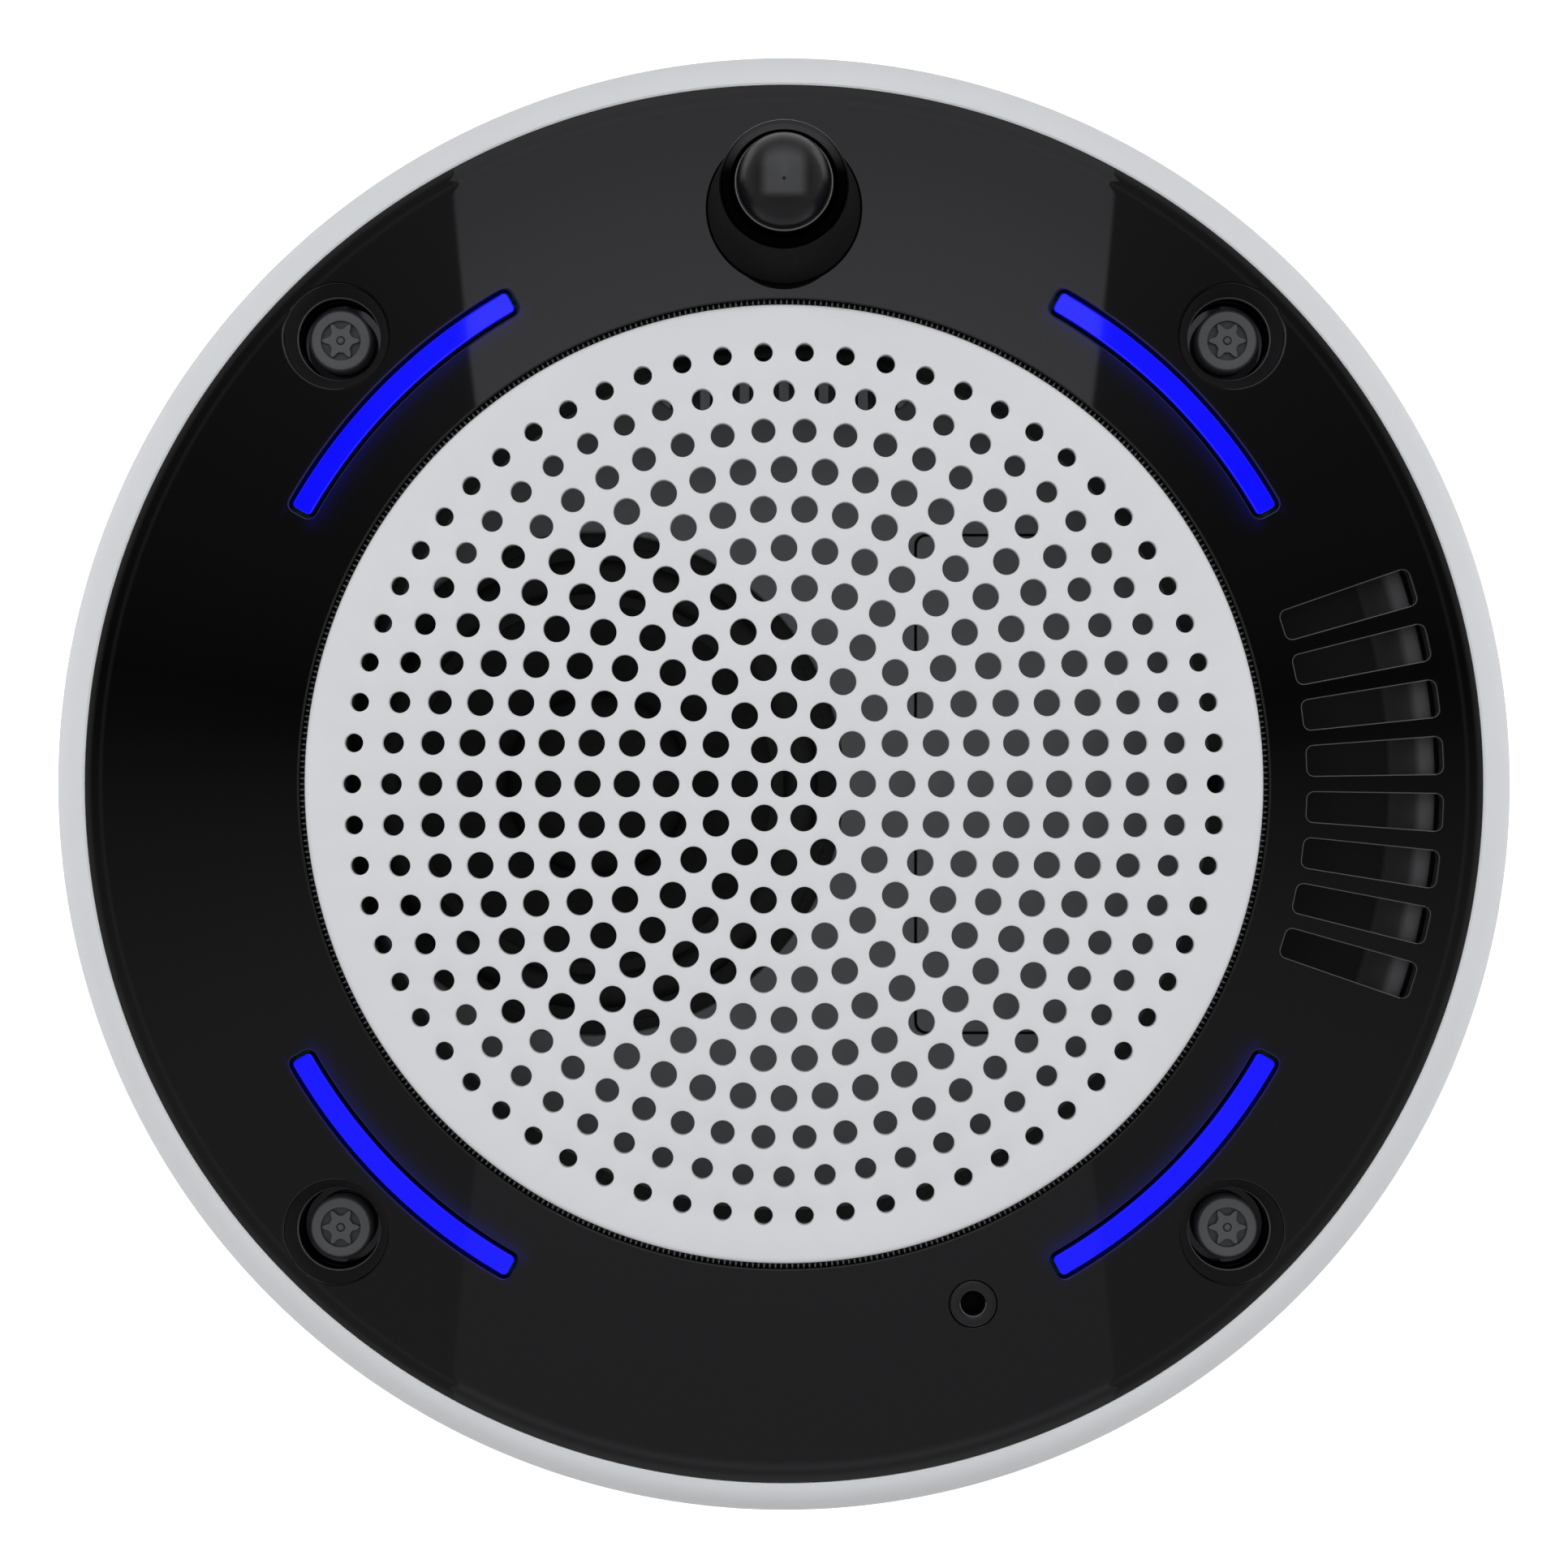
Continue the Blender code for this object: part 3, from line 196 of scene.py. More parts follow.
def soften(profile, radius=0.15, steps=3, closed=True):
    """Rounds a profile's corners. A point may hold its own radius as a third number."""
    count = len(profile)
    out = []
    for i, point in enumerate(profile):
        here = Vector(point[:2])
        size = point[2] if len(point) > 2 else radius
        ends = not closed and i in (0, count - 1)
        if ends or size <= 0:
            out.append(tuple(here))
            continue
        before = Vector(profile[i - 1][:2]) - here
        after = Vector(profile[(i + 1) % count][:2]) - here
        first = here + before.normalized() * min(size, before.length * 0.45)
        last = here + after.normalized() * min(size, after.length * 0.45)
        for k in range(steps + 1):
            t = k / steps
            out.append(tuple(first * (1 - t) ** 2 + here * (2 * t * (1 - t)) + last * t * t))
    return out


# ---------------------------------------------------------------- meshes


class Solid:
    """Points in millimetres and faces, gathered ring by ring."""

    def __init__(self):
        self.points = []
        self.faces = []

    def ring(self, flat, heights):
        start = len(self.points)
        if np.isscalar(heights):
            heights = [heights] * len(flat)
        self.points.extend((x, y, z) for (x, y), z in zip(flat, heights, strict=True))
        return list(range(start, len(self.points)))

    def bridge(self, first, second):
        count = len(first)
        for i in range(count):
            j = (i + 1) % count
            self.faces.append((first[i], first[j], second[j], second[i]))

    def turn(self, profile, centre=(0.0, 0.0), sides=96):
        """Adds a profile turned about a vertical axis; ends on the axis close it."""
        rings = []
        for radius, height in profile:
            if radius < 1e-9:
                rings.append(self.ring([centre], height))
            else:
                rings.append(self.ring(circle(radius, centre, sides), height))
        pairs = list(zip(rings, rings[1:], strict=False))
        if len(rings[0]) > 1 or len(rings[-1]) > 1:
            pairs.append((rings[-1], rings[0]))
        for first, second in pairs:
            if len(first) == 1 or len(second) == 1:
                pole = first[0] if len(first) == 1 else second[0]
                loop = second if len(first) == 1 else first
                for i in range(len(loop)):
                    self.faces.append((pole, loop[i], loop[(i + 1) % len(loop)]))
            else:
                self.bridge(first, second)

    def loft(self, rings):
        """Joins each ring to the next and closes both ends."""
        for first, second in zip(rings, rings[1:], strict=False):
            self.bridge(first, second)
        self.faces.append(tuple(reversed(rings[0])))
        self.faces.append(tuple(rings[-1]))

    def sweep(self, section, start, end, steps, centre=(0.0, 0.0)):
        """Carries a section of (radius, height) points round a vertical axis, from start to end."""
        slices = []
        for i in range(steps + 1):
            angle = start + (end - start) * i / steps
            flat = [polar(radius, angle, centre) for radius, _ in section]
            slices.append(self.ring(flat, [height for _, height in section]))
        self.loft(slices)


def make_piece(name, solid, slot, replaces=(), finish=None, body="enclosure", sharp=38.0, bend=None):
    """Turns a Solid into a piece that rides on a body, or, given bend, one that stays where it is on no body.

    Its finish is the slot's own unless another is named.
    """
    mesh = bpy.data.meshes.new(name)
    points = [(x * MM, y * MM, z * MM) for x, y, z in solid.points]
    mesh.from_pydata(points, [], solid.faces)
    work = bmesh.new()
    work.from_mesh(mesh)
    bmesh.ops.recalc_face_normals(work, faces=work.faces)
    work.to_mesh(mesh)
    work.free()
    mesh.shade_smooth()
    mesh.set_sharp_from_angle(angle=math.radians(sharp))
    mesh.materials.append(FINISHES[finish or slot])
    piece = bpy.data.objects.new(name, mesh)
    bpy.context.scene.collection.objects.link(piece)
    if bend:
        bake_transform(piece)
    else:
        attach(piece, body)
    if replaces:
        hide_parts(*replaces)
    return piece


def repaint(piece, finish, chosen):
    """Gives another finish to the faces that chosen(centre in millimetres, normal) picks."""
    piece.data.materials.append(FINISHES[finish])
    index = len(piece.data.materials) - 1
    for face in piece.data.polygons:
        if chosen(face.center / MM, face.normal):
            face.material_index = index


def inside(points, loop):
    """Which points lie inside a closed loop, by counting crossings."""
    loop = np.asarray(loop, float)
    x, y = points[:, 0], points[:, 1]
    result = np.zeros(len(points), bool)
    for (ax, ay), (bx, by) in zip(loop, np.roll(loop, -1, 0), strict=True):
        if ay == by:
            continue
        hit = (ay > y) != (by > y)
        result ^= hit & (x < ax + (y - ay) * (bx - ax) / (by - ay))
    return result


def pierced(solid, rim, holes, top, bottom, creases=(), grid=(), clear=0.5):
    """A plate with holes, closed all round.

    rim and each hole are lists of (loop, drop): the first loop lies on the top face, the
    others lead down to the last, which lies on the bottom face. drop is how far a loop
    lies below the top there, or a height function, or None on the bottom. Creases are
    loops that the top face's mesh follows. top and bottom give heights at (x, y).
    """
    edges = [rim, *holes]
    flat = []
    constraints = []
    starts = []
    for loop in [levels[0][0] for levels in edges] + list(creases):
        start = len(flat)
        starts.append(start)
        flat.extend(loop)
        count = len(loop)
        constraints.extend((start + i, start + (i + 1) % count) for i in range(count))
    flat.extend(spare_points(grid, flat, [levels[0][0] for levels in holes], clear))
    made = delaunay_2d_cdt([Vector(p) for p in flat], constraints, [], 1, 1e-6)
    spots = [tuple(vertex) for vertex in made[0]]
    index_of = {}
    for index, sources in enumerate(made[3]):
        for source in sources:
            index_of[source] = index
    centres = np.array([np.mean([spots[i] for i in triangle], axis=0) for triangle in made[2]])
    keep = inside(centres, rim[0][0])
    for levels in holes:
        loop = np.asarray(levels[0][0])
        near = np.all((centres > loop.min(0) - 1) & (centres < loop.max(0) + 1), axis=1)
        chosen = np.flatnonzero(near & keep)
        keep[chosen[inside(centres[chosen], loop)]] = False
    upper = solid.ring(spots, [top(x, y) for x, y in spots])
    below = list(spots)
    borders = []
    for levels, start in zip(edges, starts, strict=False):
        border = [index_of[start + i] for i in range(len(levels[0][0]))]
        borders.append(border)
        for index, spot in zip(border, levels[-1][0], strict=True):
            below[index] = spot
    lower = solid.ring(below, [bottom(x, y) for x, y in below])
    for triangle, kept in zip(made[2], keep, strict=True):
        if kept:
            solid.faces.append(tuple(upper[i] for i in triangle))
            solid.faces.append(tuple(lower[i] for i in reversed(triangle)))
    for levels, border in zip(edges, borders, strict=True):
        previous = [upper[i] for i in border]
        for loop, drop in levels[1:-1]:
            heights = [drop(x, y) if callable(drop) else top(x, y) - drop for x, y in loop]
            following = solid.ring(loop, heights)
            solid.bridge(previous, following)
            previous = following
        solid.bridge(previous, [lower[i] for i in border])


def spare_points(grid, borders, holes, clear):
    """The points of a grid that lie in no hole and clear of every border."""
    if not len(grid):
        return []
    tree = kdtree.KDTree(len(borders))
    for i, (x, y) in enumerate(borders):
        tree.insert((x, y, 0), i)
    tree.balance()
    points = np.array(grid, float)
    free = np.array([tree.find((x, y, 0))[2] > clear for x, y in points])
    for loop in holes:
        free &= ~inside(points, loop)
    return [tuple(p) for p in points[free]]


def at(height):
    """A level that lies at one height."""
    return lambda x, y: height


# ---------------------------------------------------------------- materials


class Value:
    """A shader node's output; arithmetic on it adds the nodes it needs."""

    def __init__(self, tree, socket):
        self.tree = tree
        self.socket = socket

    def __add__(self, other):
        return self.tree.maths("ADD", self, other)

    def __sub__(self, other):
        return self.tree.maths("SUBTRACT", self, other)

    def __mul__(self, other):
        return self.tree.maths("MULTIPLY", self, other)

    def __truediv__(self, other):
        return self.tree.maths("DIVIDE", self, other)

    def __abs__(self):
        return self.tree.maths("ABSOLUTE", self)

    def at_least(self, low):
        return self.tree.maths("MAXIMUM", self, low)

    def step(self, low, high, start=0.0, end=1.0, kind="SMOOTHSTEP"):
        """Goes from start to end while this value goes from low to high."""
        node = self.tree.nodes.new("ShaderNodeMapRange")
        node.interpolation_type = kind
        inputs = {"Value": self, "From Min": low, "From Max": high, "To Min": start, "To Max": end}
        return self.tree.wire(node, inputs, "Result")

    def ranged(self, low, high):
        """Noise, whose middle part is spread over a range."""
        return self.step(0.3, 0.7, low, high, "LINEAR")

    def mix(self, first, second):
        """A colour between two, by this value."""
        node = self.tree.nodes.new("ShaderNodeMix")
        node.data_type = "RGBA"
        return self.tree.wire(node, {"Factor": self, "A": first, "B": second}, "Result")

    def ramp(self, stops):
        """A grey level read off a list of (position, value) stops."""
        node = self.tree.nodes.new("ShaderNodeValToRGB")
        while len(node.color_ramp.elements) < len(stops):
            node.color_ramp.elements.new(0.5)
        for element, (position, value) in zip(node.color_ramp.elements, stops, strict=True):
            element.position = position
            element.color = (value * 0.98, value * 0.985, value * 1.05, 1)
        return self.tree.wire(node, {"Fac": self}, "Color")


class Tree:
    """The shader nodes of a material or a world."""

    def __init__(self, owner):
        self.owner = owner
        owner.use_nodes = True
        self.nodes = owner.node_tree.nodes

    def feed(self, socket, value):
        """Links a Value to an input, or sets the input to a number, a vector or a colour."""
        if isinstance(value, Value):
            self.owner.node_tree.links.new(value.socket, socket)
        elif socket.type == "RGBA":
            socket.default_value = (*value, 1)
        else:
            socket.default_value = value

    def wire(self, node, inputs, output):
        """Feeds a node's inputs and gives one of its outputs."""
        for name, value in inputs.items():
            self.feed(node.inputs[name], value)
        return Value(self, node.outputs[output])

    def maths(self, operation, *values):
        node = self.nodes.new("ShaderNodeMath")
        node.operation = operation
        return self.wire(node, dict(enumerate(values)), 0)

    def distance(self, x, y):
        return self.maths("SQRT", x * x + y * y)

    def coordinates(self, kind):
        return self.wire(self.nodes.new("ShaderNodeTexCoord"), {}, kind)

    def axes(self, place):
        """The x, y and z of a vector."""
        node = self.nodes.new("ShaderNodeSeparateXYZ")
        return [self.wire(node, {"Vector": place}, axis) for axis in "XYZ"]

    def spot(self):
        """The x, y and z of the spot that is shaded, in millimetres, fixed to the object."""
        return [part * (1 / MM) for part in self.axes(self.coordinates("Object"))]

    def noise(self, scale, detail=2.0, stretch=None):
        """Noise that is fixed to the object, with scale in cycles per metre."""
        place = self.coordinates("Object")
        if stretch:
            inputs = {"Vector": place, "Scale": stretch}
            place = self.wire(self.nodes.new("ShaderNodeMapping"), inputs, "Vector")
        inputs = {"Scale": scale, "Detail": detail, "Vector": place}
        return self.wire(self.nodes.new("ShaderNodeTexNoise"), inputs, "Fac")

    def ray(self, kind):
        """1 for rays of one kind, such as Is Camera Ray, and 0 for others."""
        return self.wire(self.nodes.new("ShaderNodeLightPath"), {}, kind)

    def paint(self, **inputs):
        """Sets a material's main shader, with _ for a blank in names, and gives the material."""
        for name, value in inputs.items():
            self.feed(self.nodes["Principled BSDF"].inputs[name.replace("_", " ")], value)
        return self.owner


def new_material(name):
    return Tree(bpy.data.materials.new(name))


def finish_of(name, colour, roughness, metallic=0.0, drift=0.06, drift_scale=60, grain=1800,
              bump=0.004, spread=0.06, stretch=None, specular=0.5):
    """A moulded, painted or metal surface: colour drift, fine grain and uneven roughness."""
    made = new_material(name)
    fine = made.noise(grain, 2.0, stretch)
    dark = [c * (1 - drift) for c in colour]
    light = [min(1.0, c * (1 + drift)) for c in colour]
    if bump:
        inputs = {"Strength": 1.0, "Distance": bump * MM, "Height": fine}
        made.paint(Normal=made.wire(made.nodes.new("ShaderNodeBump"), inputs, "Normal"))
    return made.paint(
        Base_Color=made.noise(drift_scale, 3.0).ranged(0, 1).mix(dark, light),
        Roughness=fine.ranged(max(0.0, roughness - spread), roughness + spread),
        Metallic=metallic,
        Specular_IOR_Level=specular,
    )


def make_gloss_black():
    """Smoked plastic, polished, with a faint drift and the light bars' glow inside it."""
    made = new_material("gloss_black")
    slow = made.noise(25)
    return made.paint(
        Base_Color=slow.ranged(0, 1).mix((0.0008,) * 3, (0.0011,) * 3),
        Roughness=slow.ranged(0.012, 0.022),
        IOR=1.5,
        Emission_Color=(0.02, 0.012, 1.0),
        Emission_Strength=light_glow(made),
    )


def light_glow(made):
    """Light that spreads inside the plastic from each bar, mostly towards the centre."""
    x, y, _ = made.spot()
    radius = made.distance(x, y)
    beside = abs((x * x - y * y) / (x * x + y * y)).step(0.47, 0.58, 1.0, 0.0)
    inner, outer = (
        made.maths("EXPONENT", abs(radius - edge) / -reach) * strength
        for edge, reach, strength in LIGHT_GLOW
    )
    return (inner + outer) * beside


def make_edge_blue():
    """A black corner that catches the light bar beside it."""
    made = new_material("edge_blue")
    slow = made.noise(150)
    return made.paint(
        Base_Color=slow.mix((0.001, 0.001, 0.002), (0.002, 0.002, 0.004)),
        Roughness=0.1,
        Emission_Color=(0.05, 0.045, 1.0),
        Emission_Strength=slow.ranged(0.045, 0.06),
    )


def make_light_blue():
    """The lit diffuser of a light bar, under a polished skin."""
    made = new_material("blue_light")
    slow = made.noise(120).ranged(0, 1)
    return made.paint(
        Base_Color=slow.mix((0.001, 0.001, 0.02), (0.002, 0.002, 0.03)),
        Roughness=0.03,
        Emission_Color=slow.mix((0.0004, 0.0004, 0.97), (0.0008, 0.0008, 1.0)),
        Emission_Strength=1.0,
    )


def make_dome_black():
    """Smoked dome with a painted reflection: a paler patch with a crescent on either side."""
    made = new_material("dome_black")
    centre = (*BEAD_XY, DOME_TIP_Z - DOME_R)
    x, y, z = ((part - origin) / DOME_R for part, origin in zip(made.spot(), centre, strict=True))
    rise = z * PAINTED_REFLECTION_TILT[1] + y * PAINTED_REFLECTION_TILT[0]
    aside = abs(x)
    # lens is the paler patch of the painted reflection, crescent the painted reflection at either side, dot a
    # dark mark in the patch.
    lens = aside.step(0.28, 0.54, 1.0, 0.0) * rise.step(-0.33, -0.13)
    lens = lens * (rise + aside * aside * 0.7).step(0.46, 0.86, 1.0, 0.0)
    far = made.distance(x, rise)
    crescent = far.step(0.76, 0.82) * far.step(0.86, 0.92, 1.0, 0.0)
    crescent = crescent * aside.step(0.5, 0.66) * rise.step(-0.05, 0.15)
    dot = made.distance(x, rise - 0.075).step(0.02, 0.05)
    grain = made.noise(900)
    shade = (crescent * 0.5 + lens) * dot * grain.ranged(0.98, 1.02)
    return made.paint(
        Base_Color=shade.mix((0.0035, 0.0035, 0.004), (0.066, 0.067, 0.07)),
        Roughness=grain.ranged(0.29, 0.31),
        Specular_IOR_Level=0.26,
    )


def make_baffle_black():
    """Satin plastic whose ramp, towards its outer end, is painted paler in soft bands: painted light."""
    made = new_material("baffle_black")
    x, y, _ = made.spot()
    low, high = BAFFLE_PAINTED_LIGHT[0][0], BAFFLE_PAINTED_LIGHT[-1][0]
    stops = [((radius - low) / (high - low), shade) for radius, shade in BAFFLE_PAINTED_LIGHT]
    # The grey level is painted light, by radius.
    shade = made.distance(x, y).step(low, high, kind="LINEAR").ramp(stops)
    grain = made.noise(700)
    return made.paint(
        Base_Color=(shade * grain.ranged(0.97, 1.03)).mix((0.0, 0.0, 0.0), (1.0, 1.0, 1.04)),
        Roughness=grain.ranged(0.5, 0.56),
        Specular_IOR_Level=0.12,
    )


def make_crown_black():
    """The boss's polished crown, dark where the dome stands in its reflection."""
    made = new_material("crown_black")
    beyond = made.spot()[1].step(BEAD_XY[1] + 1.0, BEAD_XY[1] + 6.0)
    return made.paint(
        Base_Color=beyond.mix((0.0008,) * 3, (0.042,) * 3),
        Roughness=made.noise(500).ranged(0.05, 0.08),
        Metallic=1.0,
    )


# Colour, roughness and whatever differs from finish_of: the record's slots, then finer finishes.
LOOKS = {
    "white_plastic": ((0.78, 0.795, 0.81), 0.42, {"drift": 0.012, "bump": 0.006}),
    "white_paint": ((0.80, 0.81, 0.83), 0.55, {"drift": 0.012, "grain": 2600, "bump": 0.008}),
    "satin_black": ((0.012, 0.012, 0.013), 0.32, {"drift": 0.15}),
    "dark_grey": ((0.20, 0.205, 0.21), 0.6, {"drift": 0.03, "grain": 2200, "bump": 0.01}),
    "zinc_steel": ((0.62, 0.63, 0.64), 0.34, {
        "metallic": 1.0, "drift": 0.08, "drift_scale": 140, "grain": 900, "stretch": (1, 9, 1),
        "bump": 0.003, "spread": 0.1,
    }),
    "black_screw": ((0.093, 0.096, 0.1), 0.5, {"metallic": 0.2, "drift": 0.08, "grain": 2500}),
    "aluminium": ((0.6, 0.61, 0.62), 0.36, {"metallic": 1.0, "grain": 900, "stretch": (12, 1, 1)}),
    "ferrite": ((0.03, 0.03, 0.032), 0.62, {"drift": 0.2, "grain": 1500, "bump": 0.02}),
    "copper": ((0.72, 0.32, 0.16), 0.3, {"metallic": 1.0, "grain": 900, "stretch": (1, 1, 30)}),
    "black_rubber": ((0.012, 0.012, 0.012), 0.55, {"drift": 0.1, "bump": 0.008}),
    "cone_paper": ((0.008, 0.008, 0.0085), 0.7, {"drift": 0.25, "grain": 1600, "bump": 0.03}),
    "amber_cloth": ((0.45, 0.24, 0.07), 0.85, {"drift": 0.15, "grain": 2400, "bump": 0.05}),
    "board_green": ((0.02, 0.15, 0.06), 0.4, {"drift": 0.2, "drift_scale": 400}),
    "tooth_grey": ((0.075, 0.076, 0.08), 0.5, {}),
    "bead_grey": ((0.11, 0.115, 0.12), 0.35, {"drift": 0.05}),
    "boss_black": ((0.014, 0.014, 0.015), 0.6, {"drift": 0.1, "bump": 0.0, "specular": 0.02}),
    # Painted shade, near-black, for the well in the boss's top and the port's membrane.
    "pit_shade_black": ((0.0015, 0.0015, 0.0015), 0.7, {"drift": 0.1, "bump": 0.0, "specular": 0.1}),
    "well_black": ((0.013, 0.013, 0.014), 0.5, {"drift": 0.1, "bump": 0.0, "specular": 0.1}),
    # A painted highlight for rounded edges.
    "highlight_grey": ((0.085, 0.086, 0.09), 0.35, {"drift": 0.1, "bump": 0.0}),
    "gold": ((0.75, 0.52, 0.2), 0.3, {"metallic": 1.0, "drift": 0.05, "bump": 0.0}),
    # Painted shade, darker, for the screws' star recesses.
    "recess_shade_purple": ((0.035, 0.032, 0.042), 0.5, {"drift": 0.1}),
    "port_grey": ((0.006, 0.006, 0.0065), 0.25, {"drift": 0.1}),
}
FINISHES = {name: finish_of(name, colour, rough, **rest) for name, (colour, rough, rest) in LOOKS.items()}
FINISHES["gloss_black"] = make_gloss_black()
FINISHES["blue_light"] = make_light_blue()
FINISHES["edge_blue"] = make_edge_blue()
FINISHES["dome_black"] = make_dome_black()
FINISHES["crown_black"] = make_crown_black()
FINISHES["baffle_black"] = make_baffle_black()


# ---------------------------------------------------------------- pieces


def fascia_height(x, y):
    """The fascia's face, its rim's groove and lip, and the tapered mouths of the wells."""
    radius = math.hypot(x, y)
    height = FASCIA_INNER_Z - FASCIA_SLOPE * (radius - FASCIA_INNER_R)
    height += float(np.interp(radius, [r for r, _ in RIM_PROFILE], [drop for _, drop in RIM_PROFILE]))
    for centre in SCREW_XY.values():
        away = math.dist((x, y), centre)
        height += float(np.interp(away, [r for r, _ in WELL_PROFILE], [drop for _, drop in WELL_PROFILE]))
    return height


def rounded_drop(outline, wall, edge=EDGE, steps=3):
    """The levels of a hole's edge: a quarter round, then straight down to the bottom."""
    levels = [(outline(edge + SUPPORT), 0)]
    for i in range(steps + 1):
        turn = math.radians(90 * i / steps)
        levels.append((outline(edge * (1 - math.sin(turn))), edge * (1 - math.cos(turn))))
    levels.append((outline(0), at(wall)))
    levels.append((outline(0), None))
    return levels


def make_fascia():
    """The black ring: cone face, rounded holes, screw wells with their cups, grooved rim."""
    sides = 288
    rim = [(circle(FASCIA_R, sides=sides), 0), (circle(FASCIA_R, sides=sides), None)]
    creases = [circle(radius, sides=sides) for radius, _ in RIM_PROFILE[:-1]]
    for centre in SCREW_XY.values():
        creases.extend(circle(radius, centre, 96) for radius, _ in WELL_PROFILE[1:])
    wall = FASCIA_BOTTOM_Z + 1
    holes = [rounded_drop(lambda grow: circle(FASCIA_INNER_R + grow, sides=sides), wall)]
    for angle in DIAGONALS.values():
        holes.append(rounded_drop(
            lambda grow, a=angle: arc_bar(LIGHT_R, a, LIGHT_HALF, LIGHT_CORNER, LIGHT_GAP + grow, 40), wall
        ))
    for angle in VENT_ANGLES:
        holes.append(rounded_drop(
            lambda grow, a=angle: arc_bar(VENT_R, a, VENT_HALF, VENT_CORNER, grow, 6), wall, 0.12
        ))
    for centre in SCREW_XY.values():
        holes.append(cup_levels(centre))
    holes.append(rounded_drop(lambda grow: circle(BOSS_HOLE_R + grow, DOME_XY, 96), wall, 0.1))
    holes.append(rounded_drop(lambda grow: circle(PORT_HOLE_R + grow, PORT_XY, 64), wall, 0.08))
    grid = [
        polar(radius, 1.25 * i + 0.6 * (k % 2))
        for k, radius in enumerate(np.arange(60.2, RIM_PROFILE[0][0] - 0.6, 1.35))
        for i in range(sides)
    ]
    solid = Solid()
    pierced(solid, rim, holes, fascia_height, at(FASCIA_BOTTOM_Z), creases, grid, 0.45)
    shell = make_piece(
        "fascia_shell", solid, "gloss_black", replaces=["front_fascia"], sharp=32
    )
    repaint(shell, "well_black", lambda spot, normal: 5.1 < well_distance(spot) < 6.3 and spot.z > 49.2)
    # The rounded edges of the air slots and each well's foot take a painted highlight.
    repaint(shell, "highlight_grey", is_highlight_edge)
    repaint(shell, "edge_blue", is_lit_edge)


def well_distance(spot):
    return min(math.dist(spot[:2], centre) for centre in SCREW_XY.values())


def is_lit_edge(spot, normal):
    """The rounded corners of the light bars' slots."""
    radius = math.hypot(spot.x, spot.y)
    beside = (math.degrees(math.atan2(spot.y, spot.x)) % 90) - 45
    return abs(beside) < LIGHT_HALF + 1.2 and 65.0 < radius < 69.4 and 0.25 < normal.z < 0.985


def is_highlight_edge(spot, normal):
    """The polished corners that catch the light, painted with a highlight: round each air slot and at each
    well's foot.
    """
    if well_distance(spot) < 5.13:
        return spot.z > 49.25
    radius = math.hypot(spot.x, spot.y)
    angle = math.degrees(math.atan2(spot.y, spot.x))
    return abs(angle) < 20 and 63.0 < radius < 80.3 and 0.25 < normal.z < 0.97


def cup_levels(centre):
    """The foot of a screw well: a small step, a straight wall, a floor and the cup round it."""
    cup = [(5.02, 49.4), (4.98, 49.3), (4.98, 46.4), (4.7, 46.0), (2.2, 46.0), (2.2, 44.0)]
    cup += [(6.0, 44.0), (6.25, 44.4)]
    levels = [(circle(radius, centre, 96), at(height)) for radius, height in cup]
    return [(circle(WELL_PROFILE[0][0], centre, 96), 0), *levels, (levels[-1][0], None)]


def wall_levels(profile, sides=288):
    """A profile's rings as the levels of a pierced plate's outer edge."""
    levels = [(circle(radius, sides=sides), at(height)) for radius, height in soften(profile, closed=False)]
    return [*levels[:-1], (levels[-1][0], None)]


def make_housing():
    """The white dish: rounded front edge, drafted wall, ledge, pierced back, bosses, posts."""
    lip = HOUSING_TOP_Z
    reach = HOUSING_R - 85.2
    rise = lip - 43.0
    outer = []
    for i in range(15):
        turn = math.radians(90 - 90 * i / 14)
        outer.append((HOUSING_R - reach + reach * math.cos(turn), 43.0 + rise * math.sin(turn), 0))
    wall = [
        (85.5, BACK_WALL_Z[1]),
        (87.3, 40.0, 0.5),
        (82.5, 44.0, 0.2),
        (82.5, 48.0, 0.2),
        (84.98, 48.0, 0.1),
        (84.98, lip - 0.15, 0),
        *outer,
        (88.0, 0, 0.8),
        (85.5, 0, 0.4),
        (85.5, BACK_WALL_Z[0]),
    ]
    openings = [
        lambda grow: rectangle(5.6, -8.4, 22.4, 8.4, 0.6, grow),
        lambda grow: rectangle(5.6, 12.6, 22.4, 21.4, 0.6, grow),
        lambda grow: circle(2.9 + grow, BUTTON_XY, 48),
    ]
    holes = [through_levels(outline) for outline in openings]
    solid = Solid()
    pierced(solid, wall_levels(wall), holes, at(BACK_WALL_Z[1]), at(BACK_WALL_Z[0]))
    for centre in SCREW_XY.values():
        boss = [(0, 4.0), (6.2, 4.0), (6.2, 40.0), (4.0, 40.0), (4.0, 43.7), (2.0, 43.7)]
        solid.turn(soften([*boss, (2.0, 31.0), (0, 31.0)], 0.25, closed=False), centre, 48)
    for centre in BOARD_POSTS:
        solid.turn(soften([(0, 4.0), (3.4, 4.0), (3.4, 16.7), (0, 16.7)], 0.25, closed=False), centre, 36)
    make_piece("housing_shell", solid, "white_plastic", replaces=["rear_housing"])


def through_levels(outline, low=BACK_WALL_Z[0], edge=0.3):
    """The levels of an opening through the back wall, rounded where it comes out behind."""
    levels = [(outline(0), 0), (outline(0), at(low + edge))]
    for i in range(1, 4):
        turn = math.radians(90 * i / 3)
        levels.append((outline(edge * (1 - math.cos(turn))), at(low + edge * (1 - math.sin(turn)))))
    return [*levels[:-1], (levels[-1][0], None)]


